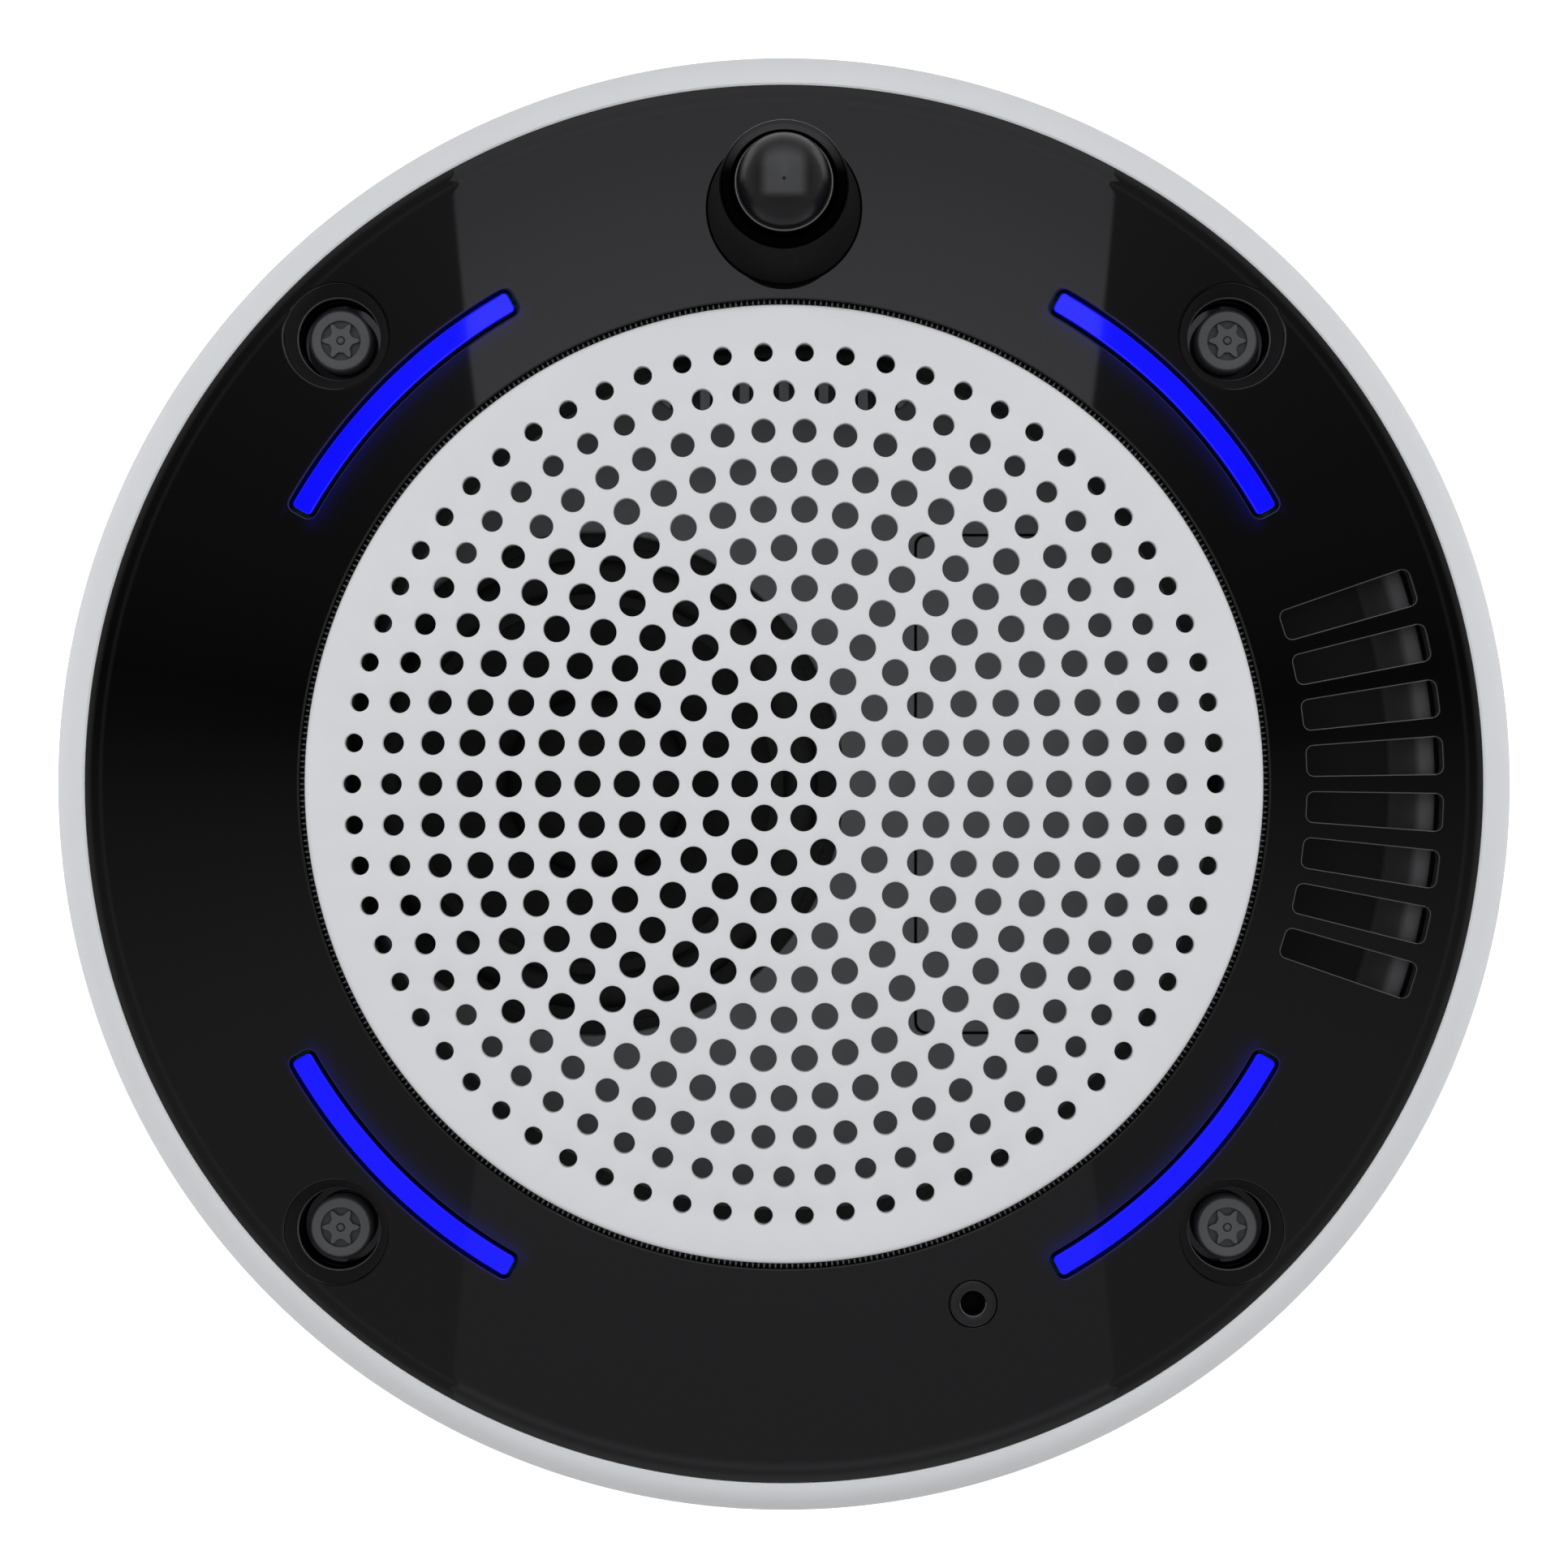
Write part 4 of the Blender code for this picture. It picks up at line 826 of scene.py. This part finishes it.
def make_plate():
    """The steel mounting plate: a rounded disc with a cable opening and four screw slots."""
    edge = 0.25
    rim = [(circle(PLATE_R - edge - SUPPORT, sides=240), 0)]
    for i in range(4):
        turn = math.radians(90 * i / 3)
        rim.append((circle(PLATE_R - edge * (1 - math.sin(turn)), sides=240), edge * (1 - math.cos(turn))))
    rim.append((circle(PLATE_R, sides=240), at(edge)))
    rim.append((circle(PLATE_R - edge, sides=240), None))
    outlines = [lambda grow: rectangle(-8.0, -27.0, 34.0, 27.0, 5.0, grow, 10)]
    for x, y in ((0.0, 41.75), (0.0, -41.75), (-60.0, 0.0), (60.0, 0.0)):
        outlines.append(lambda grow, x=x, y=y: rectangle(x - 4.5, y - 2.3, x + 4.5, y + 2.3, 2.3, grow, 10))
    holes = []
    for outline in outlines:
        levels = rounded_drop(outline, edge, edge)
        holes.append([*levels[:-1], (outline(edge), None)])
    solid = Solid()
    pierced(solid, rim, holes, at(PLATE_THICK), at(0.0))
    make_piece("back_plate", solid, "zinc_steel", replaces=["mounting_plate"])


def make_lights():
    """The four lit bars, level with the fascia's face, with softly rounded edges."""
    def top(x, y):
        return FASCIA_INNER_Z - 0.02 - FASCIA_SLOPE * (math.hypot(x, y) - FASCIA_INNER_R)

    for name, angle in DIAGONALS.items():
        rim = rounded_drop(
            lambda grow, a=angle: arc_bar(LIGHT_R, a, LIGHT_HALF, LIGHT_CORNER, -grow, 48),
            FASCIA_BOTTOM_Z + 1,
            0.12,
        )
        grid = [
            polar(radius, angle + turn)
            for radius in np.arange(LIGHT_R[0] + 0.45, LIGHT_R[1] - 0.4, 0.45)
            for turn in np.arange(-LIGHT_HALF + 0.5, LIGHT_HALF - 0.4, 0.5)
        ]
        solid = Solid()
        pierced(solid, rim, [], top, at(FASCIA_BOTTOM_Z + 0.1), (), grid, 0.2)
        bar = make_piece(f"light_{name}", solid, "blue_light", replaces=[f"light_bar_{name}"])
        repaint(bar, "satin_black", lambda centre, normal: normal.z < 0.25)


def grille_height(x, y):
    return GRILLE_CROWN_Z - GRILLE_FALL * (x * x + y * y) / GRILLE_EDGE_R**2


def grille_underside(x, y):
    return grille_height(x, y) - GRILLE_SHEET


def make_grille():
    """The perforated pan: a crowned sheet, a hole for every ring step, a turned-down skirt."""
    sides = 360
    edge_z = grille_height(GRILLE_EDGE_R, 0)
    skirt = [(57.62, edge_z - 0.06), (57.88, edge_z - 0.2), (58.04, edge_z - 0.42), (GRILLE_R, edge_z - 0.7)]
    skirt += [(GRILLE_R, FASCIA_BOTTOM_Z), (GRILLE_R - GRILLE_SHEET, FASCIA_BOTTOM_Z)]
    rim = [(circle(radius, sides=sides), at(height)) for radius, height in skirt]
    rim = [(circle(GRILLE_EDGE_R, sides=sides), 0), *rim, (rim[-1][0], None)]
    holes = []
    for centre, radius in perforations():
        edge = ((0.16, 0), (0.06, 0.03), (0.01, 0.1), (0, 0.2), (0, None))
        holes.append([(circle(radius + grow, centre, 28), drop) for grow, drop in edge])
    solid = Solid()
    pierced(solid, rim, holes, grille_height, grille_underside)
    make_piece("grille_pan", solid, "white_paint", replaces=["speaker_grille"])


def perforations():
    """The centre hole and the rings round it, six more holes in each ring than in the last."""
    yield (0.0, 0.0), HOLE_R
    for ring in range(1, GRILLE_RINGS + 1):
        radius = HOLE_R_LAST_RINGS.get(ring, HOLE_R)
        for i in range(6 * ring):
            yield polar(ring * GRILLE_PITCH, 60.0 * i / ring), radius


def make_retainer():
    """The ring that holds the grille, and the fine teeth that show in the gap beside it."""
    profile = [
        (53.2, 42.6),
        (56.8, 42.6),
        (56.8, 46.5),
        (59.2, 46.5),
        (59.2, 48.7),
        (56.8, 48.7),
        (56.8, 51.2),
        (53.2, 51.2),
    ]
    solid = Solid()
    solid.turn(soften(profile, 0.3), sides=192)
    make_piece("retainer_ring", solid, "satin_black", replaces=["grille_retainer"])

    teeth = Solid()
    inner, outer = GRILLE_R + 0.06, FASCIA_INNER_R - 0.08
    half = 360 / TEETH * 0.16
    for i in range(TEETH):
        angle = 360 * i / TEETH
        foot = [polar(inner, angle - half), polar(outer, angle - half * 0.8)]
        foot += [polar(outer, angle + half * 0.8), polar(inner, angle + half)]
        teeth.loft([teeth.ring(foot, 50.6), teeth.ring(foot, 51.9)])
    make_piece("retainer_teeth", teeth, "satin_black", finish="tooth_grey", sharp=20)


def leaning(solid):
    """Moves the top of the boss and its dome a little outwards, by their height."""
    for i, (x, y, z) in enumerate(solid.points):
        solid.points[i] = (x, y + BOSS_LEAN * max(0.0, z - FASCIA_INNER_Z), z)


def from_boss_axis(centre):
    x, y, z = centre
    return math.dist((x, y), (DOME_XY[0], DOME_XY[1] + BOSS_LEAN * max(0.0, z - FASCIA_INNER_Z)))


def make_sensor():
    """The conical boss, the well in its top painted near-black as shade, and the dome with a bead round its
    foot.
    """
    boss = Solid()
    profile = [
        (4.4, 46.6),
        (10.3, 46.6),
        (10.3, 48.7),
        (9.25, 48.7),
        (9.25, 52.0, 0.4),
        (7.6, 62.35, 0.15),
        (7.42, 62.6, 0.15),
        (6.3, 62.6, 0.08),
        (6.25, 62.3, 0.05),
        (6.25, 58.0),
        (5.2, 58.0),
        (5.2, 54.5),
        (4.4, 54.5),
    ]
    boss.turn(soften(profile, 0.1), DOME_XY, 160)
    leaning(boss)
    cone = make_piece("boss_cone", boss, "gloss_black", finish="boss_black", replaces=["sensor_boss"])
    # The well in the boss's top is painted near-black as shade.
    repaint(cone, "pit_shade_black", lambda spot, normal: from_boss_axis(spot) < 6.28 and spot.z > 54.0)
    repaint(cone, "crown_black", lambda spot, normal: 6.28 < from_boss_axis(spot) < 7.6 and spot.z > 62.2)

    dome = Solid()
    spring = DOME_TIP_Z - DOME_R
    outside = []
    inside_wall = []
    for i in range(25):
        turn = math.radians(90 * i / 24)
        across, up = math.cos(turn), math.sin(turn)
        outside.append(((DOME_R - 0.2) * across, spring + 0.12 + (DOME_R - 0.12) * up))
        inside_wall.append(((DOME_R - 1.1) * across, spring + (DOME_R - 1.0) * up))
    outside[-1] = (0, DOME_TIP_Z)
    inside_wall[-1] = (0, DOME_TIP_Z - 1.0)
    bead = [(DOME_R - 0.2, 58.3), (DOME_R - 0.2, spring - 0.3)]
    for i in range(7):
        turn = math.radians(-80 + 170 * i / 6)
        bead.append((DOME_R - 0.17 + 0.17 * math.cos(turn), spring + 0.17 * math.sin(turn)))
    dome.turn([*reversed(inside_wall), (DOME_R - 1.1, 58.3), *bead, *outside], DOME_XY, 160)
    leaning(dome)
    cap = make_piece("dome_cap", dome, "gloss_black", finish="dome_black", replaces=["sensor_dome"])
    low, high = spring - 0.2, spring + 0.17
    repaint(
        cap,
        "bead_grey",
        lambda centre, normal: low < centre.z < high and math.dist(centre[:2], BEAD_XY) > DOME_R - 0.25,
    )


def star_outline(centre, sides, tip, waist, reach):
    """Six pointed lobes with hollow flanks between them."""
    points = []
    for i in range(sides):
        angle = 360 * i / sides
        scallop = abs(math.cos(math.radians(3 * angle)))
        points.append(polar((waist + (tip - waist) * scallop**5) * reach, angle, centre))
    return points


def make_screws():
    """Security screws: a rounded head, a round recess, a six-pointed star and a pin in it."""
    sides = 144
    for name, centre in SCREW_XY.items():
        solid = Solid()
        top = SCREW_TOP_Z
        recess = top - 0.45
        shank = [(1.1, 33.0), (1.7, 34.0), (1.7, 46.3), (SCREW_R, 46.3)]
        head = [(SCREW_R, top - 0.42), (SCREW_R - 0.12, top - 0.16), (SCREW_R - 0.36, top)]
        head.append((SCREW_R - 0.45, top))
        socket = [(2.52, top), (2.44, top - 0.05), (2.4, recess)]
        star = [(1.01, recess), (1.0, top - 0.08), (0.965, top - 0.02)]
        pin = [(0.55, top - 0.02), (0.47, top - 0.16), (0.42, top + 0.02), (0.28, top + 0.14)]
        pin.append((0.1, top + 0.19))
        rings = [solid.ring(circle(radius, centre, sides), z) for radius, z in (*shank, *head, *socket)]
        rings += [solid.ring(star_outline(centre, sides, 2.34, 1.46, reach), z) for reach, z in star]
        rings += [solid.ring(circle(radius, centre, sides), z) for radius, z in pin]
        solid.loft(rings)
        screw = make_piece(
            f"screw_{name}", solid, "black_screw", replaces=[f"fascia_screw_{name}"]
        )
        # The star recess is painted darker, as shade.
        low, high = recess - 0.01, top - 0.06
        repaint(screw, "recess_shade_purple", lambda spot, normal, low=low, high=high: low < spot.z < high)


def make_port():
    """The microphone port's ring, with a rounded hole."""
    solid = Solid()
    top = fascia_height(*PORT_XY) + 0.05
    profile = [(1.5, 47.2), (4.0, 47.2), (4.0, 48.7), (2.8, 48.7), (2.8, top, 0.12), (1.5, top, 0.3)]
    solid.turn(soften(profile, 0.1), PORT_XY, 72)
    ring = make_piece("port_ring", solid, "satin_black", finish="port_grey", replaces=["microphone_port"])
    # The lower rim of the port's hole takes a painted highlight.
    repaint(
        ring,
        "highlight_grey",
        lambda spot, normal: math.dist(spot[:2], PORT_XY) < 1.68
        and spot.y < PORT_XY[1] + 0.2
        and spot.z > top - 0.3,
    )
    membrane = Solid()
    sheet = [(0, 47.3), (1.5, 47.3), (1.5, 49.6), (1.3, 49.7), (0, 49.75)]
    membrane.turn(sheet, PORT_XY, 48)
    # The membrane deep in the port is painted near-black as shade.
    make_piece("port_membrane", membrane, "satin_black", finish="pit_shade_black")


def make_contacts():
    """The eight sprung contacts inside the network socket."""
    solid = Solid()
    for i in range(8):
        left = 10.13 + 1.03 * i
        right = left + 0.44
        rows = [(-3.95, -3.6, 5.6), (-3.95, -3.6, 6.1), (-3.3, -2.9, 12.4), (-3.3, -2.95, 13.2)]
        solid.loft([
            solid.ring([(left, low), (right, low), (right, high), (left, high)], z) for low, high, z in rows
        ])
    make_piece("socket_contacts", solid, "copper", finish="gold")


def make_baffle():
    """The tray under the air slots: a flat floor, a rounded ramp, a drop at its outer end."""
    section = [(61.5, 42.6), (79.75, 42.6), (79.75, 48.5), (79.67, 48.66), (79.5, 48.66)]
    for i in range(25):
        run = i / 24
        section.append((79.3 - 5.0 * run, 48.55 - 4.15 * (0.5 - 0.5 * math.cos(math.pi * run))))
    section.append((61.5, 44.4))
    solid = Solid()
    solid.sweep(section, -21.5, 21.5, 48)
    make_piece("baffle_ramp", solid, "satin_black", finish="baffle_black", replaces=["vent_baffle"], sharp=45)


def make_chassis():
    """The dark plate behind the grille, and the chamber lid let into it."""
    top, bottom = 42.3, 40.3
    wall = bottom + 0.4
    edge = 0.15
    rim = rounded_drop(lambda grow: circle(83.4 - grow, sides=240), wall, edge)
    holes = [
        rounded_drop(lambda grow: circle(31.5 + grow, DRIVER_XY, 160), wall, 0.3),
        rounded_drop(lambda grow: rectangle(16.3, -31.3, 72.0, 31.3, 1.5, grow), wall, edge),
        rounded_drop(lambda grow: rectangle(-16.0, 46.7, 16.0, 60.0, 3.0, grow), wall, 0.4),
        rounded_drop(lambda grow: arc_bar((78.8, 81.0), 0, 19.0, 0.3, grow), wall, edge),
    ]
    for centre in SCREW_XY.values():
        holes.append(rounded_drop(lambda grow, c=centre: circle(4.3 + grow, c, 40), wall, 0.1))
    solid = Solid()
    pierced(solid, rim, holes, at(top), at(bottom))
    make_piece("chassis_panel", solid, "dark_grey", replaces=["chassis_plate"])
    lid = Solid()
    lid_rim = rounded_drop(lambda grow: rectangle(16.62, -30.98, 71.68, 30.98, 1.2, -grow), wall, edge)
    notch = rounded_drop(lambda grow: rectangle(50.2, -2.6, 55.3, 2.6, 0.6, grow), wall, 0.1)
    pierced(lid, lid_rim, [notch], at(top), at(bottom))
    make_piece("chamber_lid", lid, "dark_grey", replaces=["sensor_chamber_lid"])


def make_flexible(name, node, profile, slot, inner, outer):
    """A ring in sectors, each a piece of its own, between the moving cone and the fixed frame."""
    turn = 360 / FLEX_SECTORS
    for k in range(FLEX_SECTORS):
        solid = Solid()
        solid.sweep(profile, turn * k, turn * (k + 1), 12, DRIVER_XY)
        ends = [(*polar(radius, turn * (k + 0.5), DRIVER_XY), profile[0][1]) for radius in (inner, outer)]
        bend = [tuple(c * MM for c in end) for end in ends]
        make_piece(f"{name}_{k + 1}", solid, slot, replaces=[node], bend=bend)


def make_driver():
    """The parts of the driver that show through the grille, turned finely."""
    over = []
    under = []
    for i in range(17):
        turn = math.radians(180 * i / 16)
        across, up = math.cos(turn), math.sin(turn)
        over.append((26.15 + 2.15 * across, 39.5 + 2.2 * up))
        under.append((26.15 + 1.65 * across, 38.9 + 2.2 * up))
    profile = [(22.6, 38.9), *reversed(under), (30.24, 38.9), (30.24, 39.5), *over, (22.6, 39.5)]
    make_flexible("surround", "driver_surround", profile, "black_rubber", 24.0, 28.3)

    wave = []
    for i in range(31):
        radius = 10.4 + 9.9 * i / 30
        wave.append((radius, 30.25 + 0.2 * (1 - math.cos(2 * math.pi * (radius - 10.4) / 3.3))))
    crest = [(radius, z + 0.4) for radius, z in reversed(wave)]
    profile = [*wave, (21.0, 30.1), (21.0, 30.5), *crest]
    make_flexible("spider", "driver_spider", profile, "amber_cloth", 11.2, 19.6)

    cone = Solid()
    section = [(10.4, 31.0), (16.5, 34.9), (23.0, 38.0), (24.0, 38.0), (24.0, 38.6), (22.8, 38.6)]
    cone.turn(soften([*section, (16.2, 35.6), (10.4, 31.9)], 0.3), DRIVER_XY, 144)
    make_piece("cone_body", cone, "cone_paper", ["driver_cone"], body="driver_cone_body")

    cap = Solid()
    outside = []
    lining = []
    for i in range(13):
        turn = math.radians(90 * i / 12)
        outside.append((11.6 * math.cos(turn), 32.95 + 3.4 * math.sin(turn)))
        lining.append((11.0 * math.cos(turn), 32.95 + 2.8 * math.sin(turn)))
    outside[-1] = (0, outside[-1][1])
    lining[-1] = (0, lining[-1][1])
    cap.turn([*reversed(lining), *outside], DRIVER_XY, 144)
    make_piece("cap_dome", cap, "cone_paper", ["driver_dust_cap"], body="driver_cone_body")


# ---------------------------------------------------------------- stage


def make_floor():
    size = 8.0
    mesh = bpy.data.meshes.new("floor")
    corners = [(-size, -size, 0), (size, -size, 0), (size, size, 0), (-size, size, 0)]
    mesh.from_pydata(corners, [], [(0, 1, 2, 3)])
    made = new_material("floor_white")
    made.paint(
        Base_Color=made.noise(3, 3.0).mix((0.86, 0.86, 0.86), (0.9, 0.9, 0.9)),
        Roughness=0.9,
        Emission_Color=(1, 1, 1),
        Emission_Strength=made.ray("Is Camera Ray").step(0, 1, 0.12, 1.0),
    )
    mesh.materials.append(made.owner)
    floor = bpy.data.objects.new("floor", mesh)
    floor.location.z = -0.0003
    bpy.context.scene.collection.objects.link(floor)


def make_lamp(name, place, width, depth, power):
    """A soft lamp that points at the unit and shows in no reflection."""
    data = bpy.data.lights.new(name, "AREA")
    data.shape = "RECTANGLE"
    data.size = width
    data.size_y = depth
    data.energy = power
    lamp = bpy.data.objects.new(name, data)
    lamp.location = place
    lamp.rotation_mode = "QUATERNION"
    lamp.rotation_quaternion = (-Vector(place)).to_track_quat("-Z", "Y")
    lamp.visible_glossy = False
    lamp.visible_camera = False
    bpy.context.scene.collection.objects.link(lamp)


# Sky seen in reflections: by bearing, from straight down the picture to straight up it.
BEARING = (
    (0.0, 0.275), (0.18, 0.264), (0.25, 0.262), (0.33, 0.233), (0.413, 0.182), (0.5, 0.107), (0.55, 0.055),
    (0.587, 0.038), (0.671, 0.067), (0.75, 0.091), (0.82, 0.118), (0.883, 0.165), (0.933, 0.204), (1.0, 0.22),
)
# The tall strip box overhead, by how far from straight up; its near half is dimmer.
STRIP_FAR = ((0.0, 0.97), (0.26, 0.95), (0.31, 0.84), (0.345, 0.71), (0.5, 0.69), (1.0, 0.74))
STRIP_NEAR = ((0.0, 0.44), (0.26, 0.38), (0.31, 0.355), (0.345, 0.35), (0.5, 0.42), (1.0, 0.5))
STRIP_HALF = 0.1708
STRIP_TILT = 0.35
STRIP_SPREAD = 0.47
STRIP_BLUR = 0.0012
HORIZON = 0.62


def mirrored_sky(x, y, z):
    """What glossy surfaces see: a strip box overhead, dim sky, and a bright horizon."""
    flat = x.tree.distance(x, y)
    height = z.at_least(0.001)
    tilt = flat / height
    bearing = (y / flat.at_least(0.0001) * 0.5 + 0.5).ramp(BEARING)
    aside = abs(x / height) - (tilt - STRIP_TILT).at_least(0.0) * STRIP_SPREAD
    in_strip = aside.step(STRIP_HALF - STRIP_BLUR, STRIP_HALF + STRIP_BLUR, 1.0, 0.0)
    strip = y.step(-0.06, 0.06).mix(tilt.ramp(STRIP_NEAR), tilt.ramp(STRIP_FAR))
    low = z.step(0.25, 0.86, 1.0, 0.0)
    return low.mix(in_strip.mix(bearing, strip), (HORIZON, HORIZON, HORIZON * 1.02))


def make_world():
    """A white studio: even light for matt surfaces, the mirrored sky for glossy ones."""
    world = bpy.data.worlds.new("studio")
    tree = Tree(world)
    tree.nodes.clear()

    def background(**inputs):
        return tree.wire(tree.nodes.new("ShaderNodeBackground"), inputs, 0)

    def either(ray, others, chosen):
        inputs = {0: tree.ray(ray), 1: others, 2: chosen}
        return tree.wire(tree.nodes.new("ShaderNodeMixShader"), inputs, 0)

    x, y, z = tree.axes(tree.coordinates("Generated"))
    level = x * x * 0.74 + 0.37 - y * y * 0.72 + y * 0.15
    even = background(Color=(0.97, 0.98, 1.0), Strength=level.at_least(0.02))
    lit = either("Is Glossy Ray", even, background(Color=mirrored_sky(x, y, z)))
    seen = either("Is Camera Ray", lit, background(Color=(1, 1, 1)))
    tree.feed(tree.nodes.new("ShaderNodeOutputWorld").inputs["Surface"], seen)
    bpy.context.scene.world = world


CAMERA_LENS = 56.87
CAMERA_HEIGHT_M = 0.352


def make_camera():
    """Straight above the face, 300 mm from the fascia's plane."""
    data = bpy.data.cameras.new("camera")
    data.lens = CAMERA_LENS
    data.sensor_width = 36.0
    data.clip_start = 0.01
    camera = bpy.data.objects.new("camera", data)
    camera.location = (0, 0, CAMERA_HEIGHT_M)
    bpy.context.scene.collection.objects.link(camera)
    bpy.context.scene.camera = camera


def paint_carried_nodes():
    """Every CAD node that still shows takes the procedural finish of its slot."""
    slots = {part["node"]: part["material_slot"] for part in frame["record"]["subparts"]}
    for name, node in frame["nodes"].items():
        if not node.hide_render:
            node.data.materials.clear()
            node.data.materials.append(FINISHES[slots[name]])


def main():
    bpy.context.scene.view_settings.view_transform = "Standard"
    make_camera()
    make_floor()
    make_lamp("key_left", (-0.45, 0.14, 0.5), 0.6, 0.5, 1.08)
    make_lamp("key_right", (0.45, 0.14, 0.5), 0.6, 0.5, 1.08)
    make_lamp("fill", (0, -0.1, 1.8), 2.0, 2.0, 5)
    make_world()
    make_fascia()
    make_housing()
    make_plate()
    make_lights()
    make_grille()
    make_retainer()
    make_sensor()
    make_screws()
    make_port()
    make_contacts()
    make_baffle()
    make_chassis()
    make_driver()
    paint_carried_nodes()


main()
